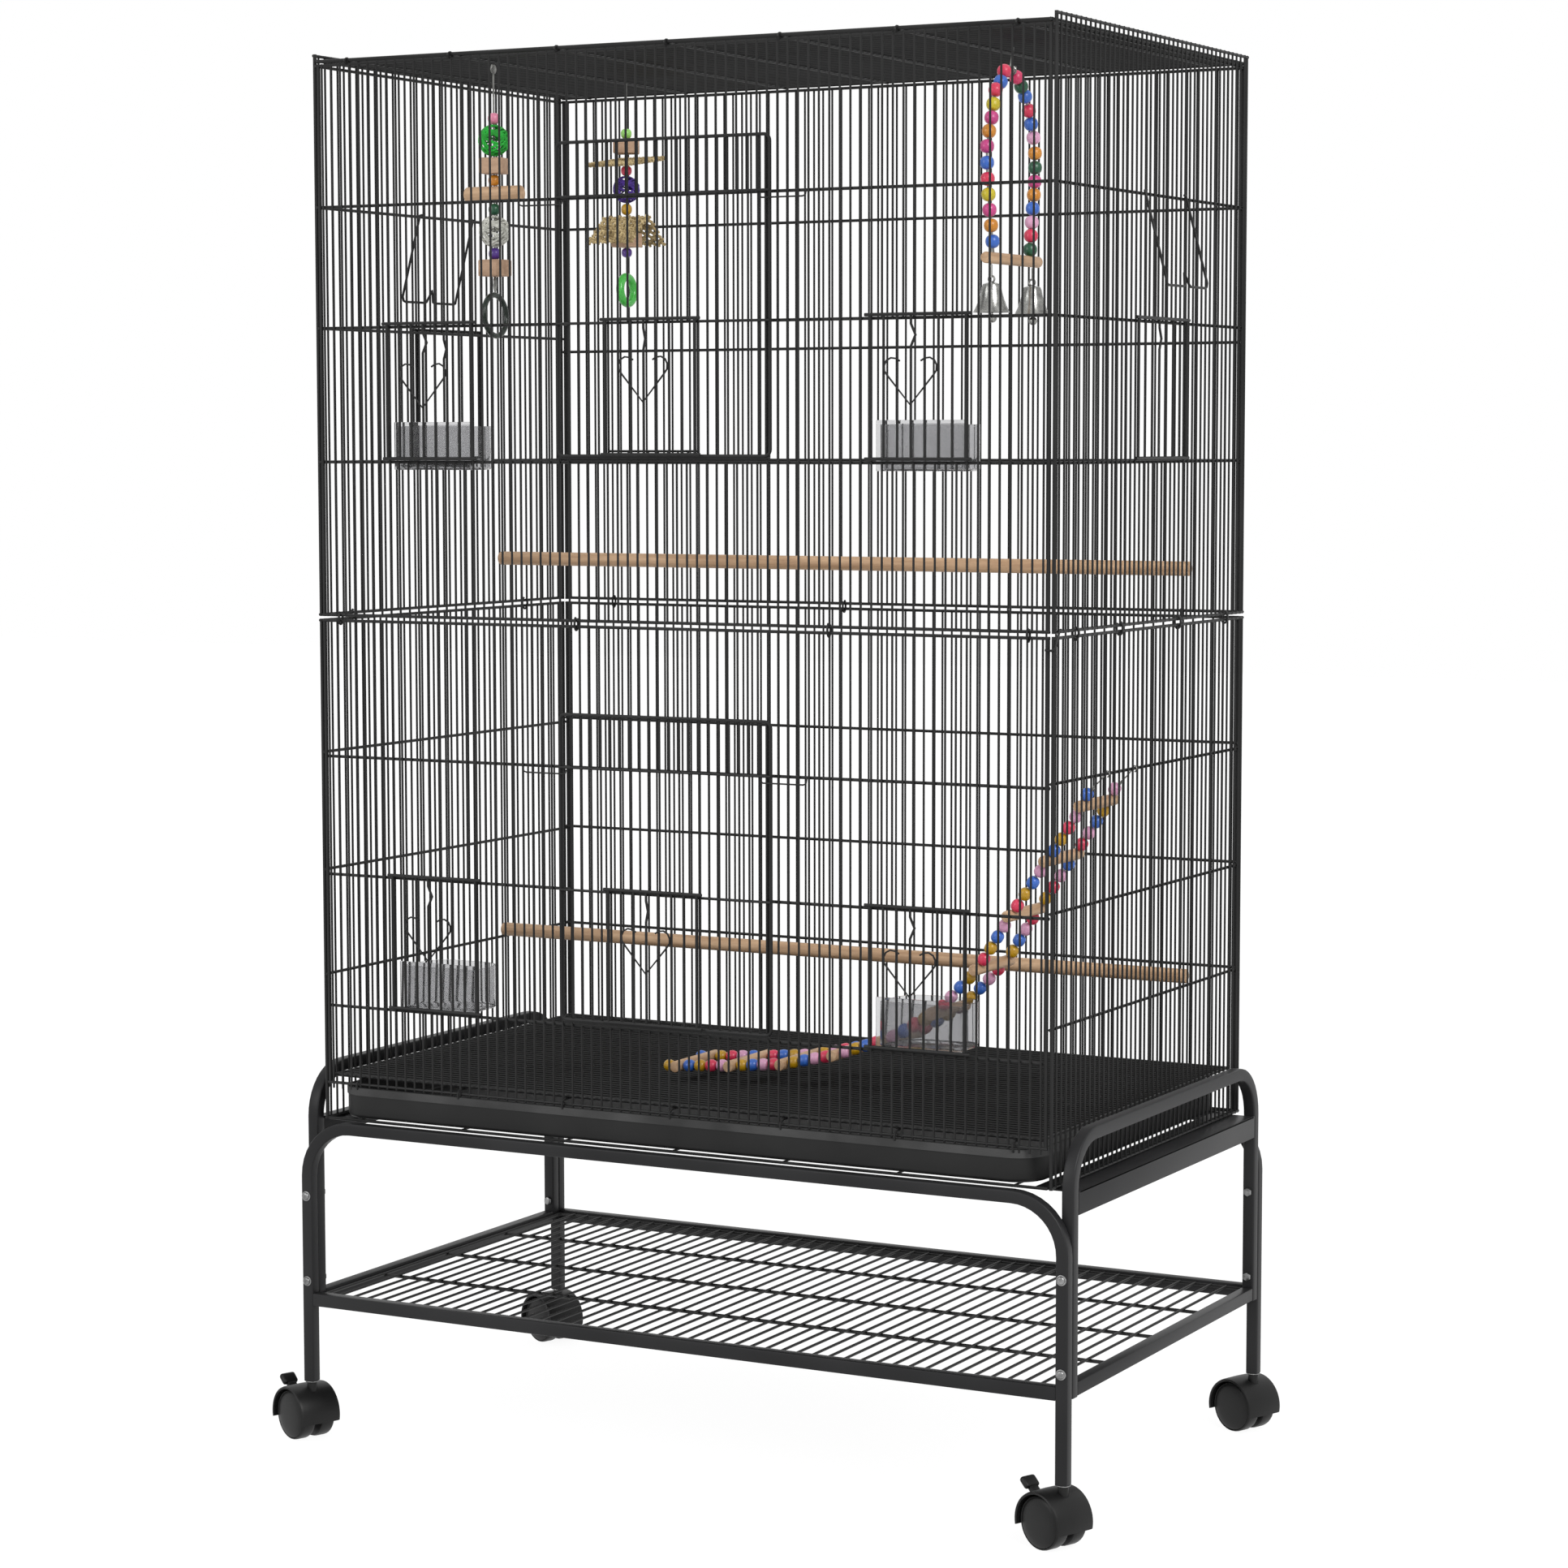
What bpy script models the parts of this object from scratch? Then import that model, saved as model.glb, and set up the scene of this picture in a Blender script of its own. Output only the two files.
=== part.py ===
"""Two-tier bird cage on a rolling stand: wire walls, doors, tray, cups, perches and hanging toys."""

import math

import bmesh
import bpy
import numpy as np
from mathutils import Matrix, Vector

# Cage walls. The front is -Y, the right is +X, and the floor is Z = 0.
CAGE_WIDTH = 0.792
CAGE_DEPTH = 0.4596
WIRE = 0.002
WIRE_PITCH = 0.01068
BAR_EVERY = 2
POST = 0.0035
POST_DEPTH = 0.0043
RAIL = 0.003
GAP = 0.0003
CORNER_INSET = 0.005
SIDE_INSET = 0.0013
BAR_CLEARANCE = 0.004
DOOR_GAP = 0.0005
LAYER_GAP = 0.001

# The cage stands beside the origin by this much, because its casters trail to one side.
STAND_OFFSET = (0.0137, -0.0046, 0.0)

# Heights of the walls and of the horizontal wires that cross them.
BASE_Z = 0.3255
FRONT_SILL_Z = 0.3615
TIER_Z = 0.8247
TOP_Z = 1.3615
SIDE_TOP_Z = 1.3715
UPPER_FRONT_ROWS = (0.977, 1.107, 1.224)
UPPER_BACK_ROWS = (0.977, 1.093, 1.224)
UPPER_SIDE_ROWS = (0.977, 1.107, 1.224, 1.3600)
LOWER_FRONT_ROWS = (0.440, 0.571, 0.688)
LOWER_BACK_ROWS = (0.472, 0.578, 0.697)
LOWER_SIDE_ROWS = (0.471, 0.5755, 0.692)

# Door openings: half the big one's width, and the span of the small ones.
BIG_OPENING = 10 * WIRE_PITCH
FEEDER_OPENING = (20 * WIRE_PITCH, 29 * WIRE_PITCH)
SIDE_OPENING = (-0.0480, 0.0690)
BIG_DOOR = (-0.1180, 0.1130)
BIG_DOOR_RISE = 0.300
BIG_DOOR_FOOT = 0.0045
BIG_DOOR_HEAD_ROW = 0.052
DOOR_HINGE_RISE = 0.001
HATCH_SILL = 0.006
INNER_OPENING = (-0.0613, 0.0347)
SMALL_DOOR_LAP = 0.0055
SMALL_DOOR_DEPTH = 0.0028
SMALL_DOOR_BARS = 4
SMALL_DOOR_FOOT = 0.002
SMALL_DOOR_HEAD = 0.0045
LATCH_WIRE = 0.0016
LATCH_INSIDE = 0.010
LATCH_OUTSIDE = 0.038
LATCH_DROP = 0.006

# Stand: square tube, bent into inverted U frames.
TUBE = 0.012
LEG_X = 0.411
FRONT_LEG_Y = 0.235
END_LEG_Y = 0.2225
LEG_FOOT_Z = 0.060
FRONT_BAR_Z = 0.319
FRONT_BEND = 0.051
END_BAR_Z = 0.372
END_BEND = 0.046
BEND_STEPS = 8
SHELF_Z = (0.137, 0.150)
RAIL_ANGLE = 0.0022
RAIL_Z = (0.3032, 0.3252)
RAIL_INNER_X = 0.372
SHELF_WIRE_PITCH = 0.0334
SHELF_ROD_Y = 0.115
JOIN_OVERLAP = 0.001
FACE_STEP = 0.0002

# Casters: twin wheels under a hood, trailing behind a stem.
WHEEL_RADIUS = 0.025
WHEEL_WIDTH = 0.017
WHEEL_INNER = 0.0035
HOOD_RADIUS = 0.029
HOOD_POCKET = 0.0262
HOOD_HALF_WIDTH = 0.0225
HOOD_SKIRT_Z = 0.019
STEM_RADIUS = 0.0048
STEM_LENGTH = 0.0102
AXLE_RADIUS = 0.003
AXLE_CLEARANCE = 0.0005
CASTER_TRAIL = 0.012
CASTER_TURN = math.radians(-22.4)
BRAKE_ANGLE = math.radians(42)
BRAKE_PIVOT_RADIUS = 0.033
BRAKE_REACH = (0.0303, 0.052)
BRAKE_HALF_WIDTH = 0.008
BRAKE_HALF_THICKNESS = 0.003
ROUND_SIDES = 24

# Tray and floor.
TRAY_HALF_WIDTH = 0.380
TRAY_FRONT_Y = -0.2320
TRAY_BACK_Y = 0.2180
TRAY_Z = (0.3295, 0.3605)
TRAY_WALL = 0.002
TRAY_CORNER = 0.030
GRATE_TOP_Z = 0.3720
GRATE_HALF_WIDTH = 0.3865
GRATE_HALF_DEPTH = 0.2245
BASE_WIRES = 6
CROSS_WIRES = tuple(share * CAGE_WIDTH for share in (-0.45, -0.3, -0.15, 0.0, 0.15, 0.3, 0.45))

# Fittings inside the cage.
PERCH_RADIUS = 0.007
PERCH_Y = 0.098
PERCH_HEIGHTS = {"upper": 0.874, "lower": 0.479}
CUP_HALF_WIDTH = 0.0455
CUP_FLANGE_Y = (-0.2250, -0.2232)
CUP_DEPTH = 0.058
CUP_HEIGHT = 0.046
CUP_WALL = 0.0018
CUP_FLANGE_LAP = 0.004
CUP_ROUNDING = 0.026
CUP_BOTTOMS = {"upper": 0.9695, "lower": 0.4430}
BAIL_WIRE = 0.0012
BAIL_TOP_Z = 1.2265
BAIL_FOOT_Z = 1.1400
BAIL_PROUD = (0.003, 0.025)
BAIL_Y = (-0.038, 0.0615)
BAIL_NOTCH_Y = 0.012
ROOF_UNDERSIDE = TOP_Z + GAP - 0.0005

# Hanging toys: each piece on a string is (shape, length, radius), from the roof down.
TOY_A = (
    ("wire", 0.0461, 0), ("ball", 0.0109, 0.0056), ("ball", 0.0313, 0.0156), ("wire", 0.0011, 0),
    ("block", 0.0153, 0.0133), ("wire", 0.0010, 0), ("ball", 0.0105, 0.0056), ("wire", 0.0172, 0),
    ("ball", 0.0111, 0.0056), ("ball", 0.0311, 0.0156), ("ball", 0.0120, 0.0058), ("block", 0.0161, 0.0133),
    ("wire", 0.0154, 0),
)
TOY_B = (
    ("wire", 0.0454, 0), ("ball", 0.0105, 0.0055), ("wire", 0.0005, 0), ("block", 0.0145, 0.0133),
    ("wire", 0.0129, 0), ("ball", 0.0105, 0.0055), ("ball", 0.0267, 0.0140), ("wire", 0.0012, 0),
    ("ball", 0.0104, 0.0055), ("wire", 0.0184, 0), ("block", 0.0133, 0.0125), ("wire", 0.0020, 0),
    ("ball", 0.0099, 0.0053), ("wire", 0.0151, 0),
)
TOY_A_AXIS = (-0.2390, -0.1480)
TOY_B_AXIS = (-0.2260, 0.0830)
SWING_AXIS = (0.2757, -0.0615)
SWING_BAR_Z = 1.1646
SWING_BAR_REACH = 0.061
SWING_BEAD = 0.0066
SWING_DOWEL = 0.0053
SWING_STEPS = 20
SWING_PATH = (
    (-0.0475, 1.1745), (-0.0560, 1.2130), (-0.0605, 1.2560), (-0.0545, 1.2870), (-0.0400, 1.3150),
    (-0.0080, 1.3370), (0.0240, 1.3230), (0.0430, 1.3000), (0.0560, 1.2660), (0.0540, 1.2220), (0.0460, 1.1745),
)
STRING_WIRE = 0.0012
CROSS_DOWEL = (0.031, 0.1245, 0.0079)
RING_A = (0.0230, 0.0196, 0.0029)
RING_B = (0.0181, 0.0135, 0.0043)
RING_FACING = (1, -0.05, 0)
MAT_HALF_SIZE = (0.0275, 0.0375, 0.0025)
MAT_DROP = 0.0790
TENT_RIDGE_DROP = 0.1336
TENT_SIZE = (0.0355, 0.0290, 0.0275)
TENT_THICKNESS = 0.003
BELL_DROP = 0.0224
BELL_SPACING = 0.045
BELL_STEM = 0.0165
BELL_PROFILE = (
    (0.0080, 0), (0.0098, 0.0020), (0.0126, 0.0150), (0.0170, 0.0272), (0.0158, 0.0272), (0.0115, 0.0150),
    (0.0086, 0.0032),
)

# Bead ladder: its centre line as (x, z) points, from the right wall down towards the grate. It
# has a rung at every point but the first and the last.
LADDER_Y = -0.070
LADDER_HALF_WIDTH = 0.032
LADDER_PATH = (
    (0.3810, 0.6810), (0.3680, 0.6610), (0.3328, 0.6083), (0.2955, 0.5548), (0.2616, 0.5023), (0.2163, 0.4560),
    (0.1655, 0.4290), (0.1112, 0.4095), (0.0546, 0.3965), (-0.0021, 0.3906), (-0.0615, 0.3860), (-0.0770, 0.3850),
)
LADDER_STEPS = 15
LADDER_RUNG_RADIUS = 0.0055
LADDER_RUNG_REACH = 0.042
LADDER_BEAD_RADIUS = 0.0058


def clear_scene():
    for obj in list(bpy.data.objects):
        bpy.data.objects.remove(obj, do_unlink=True)


def material(name, colour, roughness, metallic=0.0, alpha=1.0):
    made = bpy.data.materials.new(name)
    made.use_nodes = True
    shader = made.node_tree.nodes["Principled BSDF"]
    shader.inputs["Base Color"].default_value = (*colour, 1.0)
    shader.inputs["Roughness"].default_value = roughness
    shader.inputs["Metallic"].default_value = metallic
    shader.inputs["Alpha"].default_value = alpha
    made.diffuse_color = (*colour, alpha)
    return made


def finishes():
    return {
        "powder_coat": material("black_powder_coat", (0.022, 0.022, 0.023), 0.45, 0.2),
        "tray_plastic": material("black_tray_plastic", (0.03, 0.03, 0.03), 0.6),
        "caster_plastic": material("black_caster_plastic", (0.015, 0.015, 0.016), 0.35),
        "cup_plastic": material("smoke_cup_plastic", (0.45, 0.45, 0.46), 0.25, alpha=0.7),
        "beech": material("beech_dowel", (0.58, 0.40, 0.24), 0.6),
        "bead": material("painted_bead", (0.65, 0.10, 0.20), 0.35),
        "wicker": material("green_wicker", (0.02, 0.35, 0.05), 0.7),
        "seagrass": material("woven_seagrass", (0.45, 0.36, 0.18), 0.8),
        "ring": material("green_ring_plastic", (0.05, 0.25, 0.06), 0.35),
        "bell": material("nickel_bell", (0.75, 0.75, 0.76), 0.2, 1.0),
    }


def add_object(name, mesh, finish, origin=(0, 0, 0), parent=None):
    """Puts a mesh made in world coordinates into the scene, with its object's origin at the given point."""
    obj = bpy.data.objects.new(name, mesh)
    bpy.context.scene.collection.objects.link(obj)
    mesh.materials.append(finish)
    mesh.transform(Matrix.Translation(-Vector(origin)))
    obj.location = Vector(origin) - (parent.location if parent else Vector())
    obj.parent = parent
    return obj


def mesh_of(bm, name):
    bmesh.ops.recalc_face_normals(bm, faces=bm.faces)
    mesh = bpy.data.meshes.new(name)
    bm.to_mesh(mesh)
    bm.free()
    return mesh


def smooth(obj, angle=35):
    obj.data.shade_smooth()
    obj.data.set_sharp_from_angle(angle=math.radians(angle))


def combine(target, tool, operation):
    """Adds a Boolean to the target, with its tool kept as a hidden guide."""
    tool.hide_render = True
    tool.display_type = "WIRE"
    modifier = target.modifiers.new(operation.title(), "BOOLEAN")
    modifier.operation = operation
    modifier.solver = "EXACT"
    modifier.use_self = operation == "UNION"
    modifier.object = tool


def fused_boxes(name, boxes):
    """One closed mesh that is the union of boxes along the axes, each given by two opposite corners."""
    corners = [np.round(np.sort(np.array(box, float), axis=0), 6) for box in boxes]
    marks = [np.unique([corner[:, axis] for corner in corners]) for axis in range(3)]
    filled = np.zeros([len(values) + 1 for values in marks], dtype=int)
    for corner in corners:
        low, high = ([int(np.searchsorted(marks[a], point[a])) + 1 for a in range(3)] for point in corner)
        filled[low[0]:high[0], low[1]:high[1], low[2]:high[2]] = 1
    bm = bmesh.new()
    made = {}

    def vertex(index):
        if index not in made:
            made[index] = bm.verts.new([marks[axis][index[axis]] for axis in range(3)])
        return made[index]

    for axis in range(3):
        side, up = (axis + 1) % 3, (axis + 2) % 3
        step = np.diff(filled, axis=axis)
        for cell in np.argwhere(step):
            loop = []
            for across, rise in ((0, 0), (1, 0), (1, 1), (0, 1)):
                index = [0, 0, 0]
                index[axis] = int(cell[axis])
                index[side] = int(cell[side]) - 1 + across
                index[up] = int(cell[up]) - 1 + rise
                loop.append(vertex(tuple(index)))
            bm.faces.new(loop if step[tuple(cell)] < 0 else loop[::-1])
    mesh = bpy.data.meshes.new(name)
    bm.to_mesh(mesh)
    bm.free()
    return mesh


def positions(low, high, pitch):
    """Evenly spaced places strictly between two ends, at about the given pitch."""
    count = round((high - low) / pitch)
    return [low + (high - low) * step / count for step in range(1, count)]


def grille(u_span, v_span, uprights, rows, openings=()):
    """Boxes of a wire panel as (u, depth, v): uprights in the outer layer, rows in the layer behind it.

    An opening is (u low, u high, v low, v high). Uprights and rows stop at it, and short bars trim it.
    """
    boxes = []
    inner = WIRE + GAP

    def add(u_low, u_high, v_low, v_high, near, far):
        boxes.append(((u_low, near, v_low), (u_high, far, v_high)))

    for edge in (u_span[0], u_span[1] - POST):
        add(edge, edge + POST, *v_span, 0, POST_DEPTH)
    for edge in (v_span[0], v_span[1] - RAIL):
        add(*u_span, edge, edge + RAIL, 0, WIRE)
    for u_low, u_high, v_low, v_high in openings:
        for edge in (u_low, u_high):
            add(edge - WIRE / 2, edge + WIRE / 2, *v_span, 0, POST_DEPTH)
        for edge in (v_low, v_high):
            if v_span[0] < edge < v_span[1]:
                add(u_low, u_high, edge - WIRE / 2, edge + WIRE / 2, 0, WIRE)
    for place in uprights:
        cuts = [opening for opening in openings if opening[0] < place < opening[1]]
        if any(abs(place - edge) < BAR_CLEARANCE for opening in openings for edge in opening[:2]):
            continue
        bounds = [v_span[0]] + [edge for cut in cuts for edge in cut[2:]] + [v_span[1]]
        for low, high in zip(bounds[::2], bounds[1::2]):
            if high - low > WIRE:
                add(place - WIRE / 2, place + WIRE / 2, low, high, 0, WIRE)
    for height in rows:
        cuts = sorted(opening for opening in openings if opening[2] + WIRE < height < opening[3] - WIRE)
        bounds = [u_span[0]] + [edge for cut in cuts for edge in cut[:2]] + [u_span[1]]
        for low, high in zip(bounds[::2], bounds[1::2]):
            add(low, high, height - WIRE / 2, height + WIRE / 2, inner, POST_DEPTH)
    return boxes


def placed(boxes, facing, outer, thickness_sign=1):
    """Turns (u, depth, v) boxes into world boxes on a wall, a roof or a floor."""
    def point(corner):
        u, depth, v = corner
        depth *= thickness_sign
        return {
            "front": (u, -outer + depth, v),
            "back": (u, outer - depth, v),
            "left": (-outer + depth, u, v),
            "right": (outer - depth, u, v),
            "level": (v, u, outer - depth),
        }[facing]
    return [tuple(point(corner) for corner in box) for box in boxes]


def wall(name, facing, v_span, rows, finish, openings=()):
    """One flat wire wall of a tier."""
    across_x = facing in ("front", "back")
    half = (CAGE_WIDTH / 2 - CORNER_INSET) if across_x else (CAGE_DEPTH / 2 - SIDE_INSET)
    outer = CAGE_DEPTH / 2 if across_x else CAGE_WIDTH / 2
    pitch = BAR_EVERY * WIRE_PITCH
    reach = int((half - POST - BAR_CLEARANCE) / pitch)
    bars = [step * pitch for step in range(-reach, reach + 1)]
    boxes = grille((-half, half), v_span, bars, rows, openings)
    return add_object(name, fused_boxes(name, placed(boxes, facing, outer)), finish)


def build_walls(finish):
    upper = (TIER_Z + SIDE_INSET, TOP_Z)
    lower = (BASE_Z, TIER_Z - SIDE_INSET)
    side_upper = (upper[0], SIDE_TOP_Z)

    def front_openings(rows):
        sill, middle, head = rows
        near, far = FEEDER_OPENING
        left, right = (-far, -near, sill, middle), (near, far, sill, middle)
        return [left, (-BIG_OPENING, BIG_OPENING, sill, head), right]

    wall("upper_front_panel", "front", upper, UPPER_FRONT_ROWS, finish, front_openings(UPPER_FRONT_ROWS))
    wall("upper_back_panel", "back", upper, UPPER_BACK_ROWS, finish)
    lower_front = (FRONT_SILL_Z, lower[1])
    openings = front_openings(LOWER_FRONT_ROWS)
    wall("lower_front_panel", "front", lower_front, LOWER_FRONT_ROWS, finish, openings)
    wall("lower_back_panel", "back", lower, LOWER_BACK_ROWS, finish)
    side_door = [(*SIDE_OPENING, UPPER_SIDE_ROWS[0], UPPER_SIDE_ROWS[1])]
    for side in ("left", "right"):
        wall(f"upper_{side}_panel", side, side_upper, UPPER_SIDE_ROWS, finish, side_door)
        wall(f"lower_{side}_panel", side, lower, LOWER_SIDE_ROWS, finish)


def level_grid(name, half_width, half_depth, top, finish):
    """A wire roof or floor: thin wires along X in the top layer and seven heavier ones along Y below them."""
    bars = positions(-half_depth, half_depth, BAR_EVERY * WIRE_PITCH)
    rows = [place for place in CROSS_WIRES if abs(place) < half_width]
    boxes = grille((-half_depth, half_depth), (-half_width, half_width), bars, rows)
    return add_object(name, fused_boxes(name, placed(boxes, "level", top)), finish)


def build_floor(finish, tray_finish):
    level_grid("roof_panel", CAGE_WIDTH / 2 - CORNER_INSET, CAGE_DEPTH / 2, TOP_Z + GAP + POST_DEPTH, finish)
    level_grid("floor_grate", GRATE_HALF_WIDTH, GRATE_HALF_DEPTH, GRATE_TOP_Z, finish)
    half = CAGE_WIDTH / 2 - CORNER_INSET - DOOR_GAP
    front, back = -CAGE_DEPTH / 2, CAGE_DEPTH / 2 - POST_DEPTH - DOOR_GAP
    bottom, top = BASE_Z, BASE_Z + RAIL
    boxes = [((-half, edge, bottom), (half, edge + RAIL, top)) for edge in (front, back - RAIL)]
    boxes += [((edge, front, bottom), (edge + RAIL, back, top)) for edge in (-half, half - RAIL)]
    for place in positions(-CAGE_WIDTH / 2, CAGE_WIDTH / 2, CAGE_WIDTH / BASE_WIRES):
        boxes.append(((place - WIRE / 2, front, bottom), (place + WIRE / 2, back, bottom + WIRE)))
    add_object("base_panel", fused_boxes("base_panel", boxes), finish)

    outer = rounded_rectangle(TRAY_HALF_WIDTH, TRAY_FRONT_Y, TRAY_BACK_Y, TRAY_CORNER)
    inset = TRAY_WALL
    ends = (TRAY_FRONT_Y + inset, TRAY_BACK_Y - inset)
    inner = rounded_rectangle(TRAY_HALF_WIDTH - inset, *ends, TRAY_CORNER - inset)
    tray = vessel("tray", outer, inner, TRAY_Z[0], TRAY_Z[0] + TRAY_WALL, TRAY_Z[1])
    smooth(add_object("tray", tray, tray_finish, (0, TRAY_FRONT_Y, TRAY_Z[0])))


def rounded_rectangle(half_width, front, back, corner, steps=6):
    points = []
    centres = (
        (half_width - corner, back - corner, 0),
        (-half_width + corner, back - corner, 90),
        (-half_width + corner, front + corner, 180),
        (half_width - corner, front + corner, 270),
    )
    for x, y, start in centres:
        for step in range(steps + 1):
            angle = math.radians(start + 90 * step / steps)
            points.append((x + corner * math.cos(angle), y + corner * math.sin(angle)))
    return points


def vessel(name, outer, inner, bottom, floor, top):
    """An open-topped vessel between two matching outlines."""
    bm = bmesh.new()
    rings = [
        [bm.verts.new((x, y, z)) for x, y in outline]
        for outline, z in ((outer, bottom), (outer, top), (inner, top), (inner, floor))
    ]
    for below, above in zip(rings, rings[1:]):
        for step in range(len(outer)):
            following = (step + 1) % len(outer)
            bm.faces.new((below[step], below[following], above[following], above[step]))
    bm.faces.new(rings[0][::-1])
    bm.faces.new(rings[-1])
    return mesh_of(bm, name)


def swing_door(name, rows, tier_sill, finish):
    """A big front door, hinged along its bottom wire, with an opening for the small door it carries."""
    low = tier_sill + BIG_DOOR_FOOT
    span = (low, tier_sill + BIG_DOOR_RISE)
    opening = [(*INNER_OPENING, low + HATCH_SILL, rows[1])]
    bars = positions(BIG_DOOR[0], BIG_DOOR[1], BAR_EVERY * WIRE_PITCH)
    boxes = grille(BIG_DOOR, span, bars, rows[1:2] + (span[1] - BIG_DOOR_HEAD_ROW,), opening)
    outer = CAGE_DEPTH / 2 + DOOR_GAP
    hinge = (0, -outer - POST_DEPTH / 2, low + DOOR_HINGE_RISE)
    mesh = fused_boxes(name, placed(boxes, "front", outer, -1))
    return add_object(name, mesh, finish, hinge)


def slide_door(name, facing, u_span, v_span, outer, finish, parent=None):
    """A small door that slides straight up in front of its opening."""
    u_span = (u_span[0] - SMALL_DOOR_LAP, u_span[1] + SMALL_DOOR_LAP)
    v_span = (v_span[0] + SMALL_DOOR_FOOT, v_span[1] + SMALL_DOOR_HEAD)
    foot, head = v_span
    depth = SMALL_DOOR_DEPTH
    boxes = [((edge, 0, foot), (edge + RAIL, depth, head)) for edge in (u_span[0], u_span[1] - RAIL)]
    boxes += [((u_span[0], 0, edge), (u_span[1], depth, edge + RAIL)) for edge in (foot, head - RAIL)]
    for place in positions(*u_span, (u_span[1] - u_span[0]) / SMALL_DOOR_BARS):
        boxes.append(((place - WIRE / 2, 0, foot), (place + WIRE / 2, WIRE, head)))
    mesh = fused_boxes(name, placed(boxes, facing, outer, -1))
    middle = sum(u_span) / 2
    origin = {
        "front": (middle, -outer, foot),
        "left": (-outer, middle, foot),
        "right": (outer, middle, foot),
    }
    return add_object(name, mesh, finish, origin[facing], parent)


def door_latch(name, side, door, height, finish):
    """A short wire that slides along X across the edge of a big door."""
    edge = BIG_DOOR[0] if side == "left" else BIG_DOOR[1]
    outward = -1 if side == "left" else 1
    near = -CAGE_DEPTH / 2 - POST_DEPTH - LAYER_GAP
    span = (edge - outward * LATCH_INSIDE, edge + outward * LATCH_OUTSIDE)
    half = LATCH_WIRE / 2
    box = ((min(span), near - LATCH_WIRE, height - half), (max(span), near, height + half))
    return add_object(name, fused_boxes(name, [box]), finish, (edge, near, height), door)


def build_doors(finish):
    outer = CAGE_DEPTH / 2 + DOOR_GAP
    on_door = CAGE_DEPTH / 2 + POST_DEPTH + LAYER_GAP
    near, far = FEEDER_OPENING
    for tier, rows in (("upper", UPPER_FRONT_ROWS), ("lower", LOWER_FRONT_ROWS)):
        sill, middle, head = rows
        door = swing_door(f"{tier}_swing_door", rows, sill, finish)
        hatch_span = (sill + BAR_CLEARANCE, middle)
        slide_door(f"{tier}_swing_door_hatch", "front", INNER_OPENING, hatch_span, on_door, finish, door)
        slide_door(f"{tier}_left_feeder_door", "front", (-far, -near), (sill, middle), outer, finish)
        slide_door(f"{tier}_right_feeder_door", "front", (near, far), (sill, middle), outer, finish)
        for side in ("left", "right"):
            door_latch(f"{tier}_{side}_door_latch", side, door, head - LATCH_DROP, finish)
    side_outer = CAGE_WIDTH / 2 + DOOR_GAP
    for side in ("left", "right"):
        slide_door(f"{side}_side_door", side, SIDE_OPENING, UPPER_SIDE_ROWS[:2], side_outer, finish)


def bent_tube(name, path, normal, size=TUBE):
    """A square tube along a flat path, its sides square to the plane of the path."""
    bm = bmesh.new()
    normal = Vector(normal)
    rings = []
    for index, point in enumerate(path):
        ahead = Vector(path[min(index + 1, len(path) - 1)])
        behind = Vector(path[max(index - 1, 0)])
        across = (ahead - behind).normalized().cross(normal)
        corners = ((1, 1), (-1, 1), (-1, -1), (1, -1))
        rings.append([bm.verts.new(Vector(point) + (across * a + normal * b) * size / 2) for a, b in corners])
    for first, second in zip(rings, rings[1:]):
        for step in range(4):
            following = (step + 1) % 4
            bm.faces.new((first[step], first[following], second[following], second[step]))
    bm.faces.new(rings[0])
    bm.faces.new(rings[-1][::-1])
    return mesh_of(bm, name)


def inverted_u(half_span, foot, top, radius):
    """The centre line of an inverted U as (across, height) points."""
    points = [(-half_span, foot)]
    for centre, start, end in ((-half_span + radius, 180, 90), (half_span - radius, 90, 0)):
        for step in range(BEND_STEPS + 1):
            angle = math.radians(start + (end - start) * step / BEND_STEPS)
            points.append((centre + radius * math.cos(angle), top - radius + radius * math.sin(angle)))
    points.append((half_span, foot))
    return points


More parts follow.
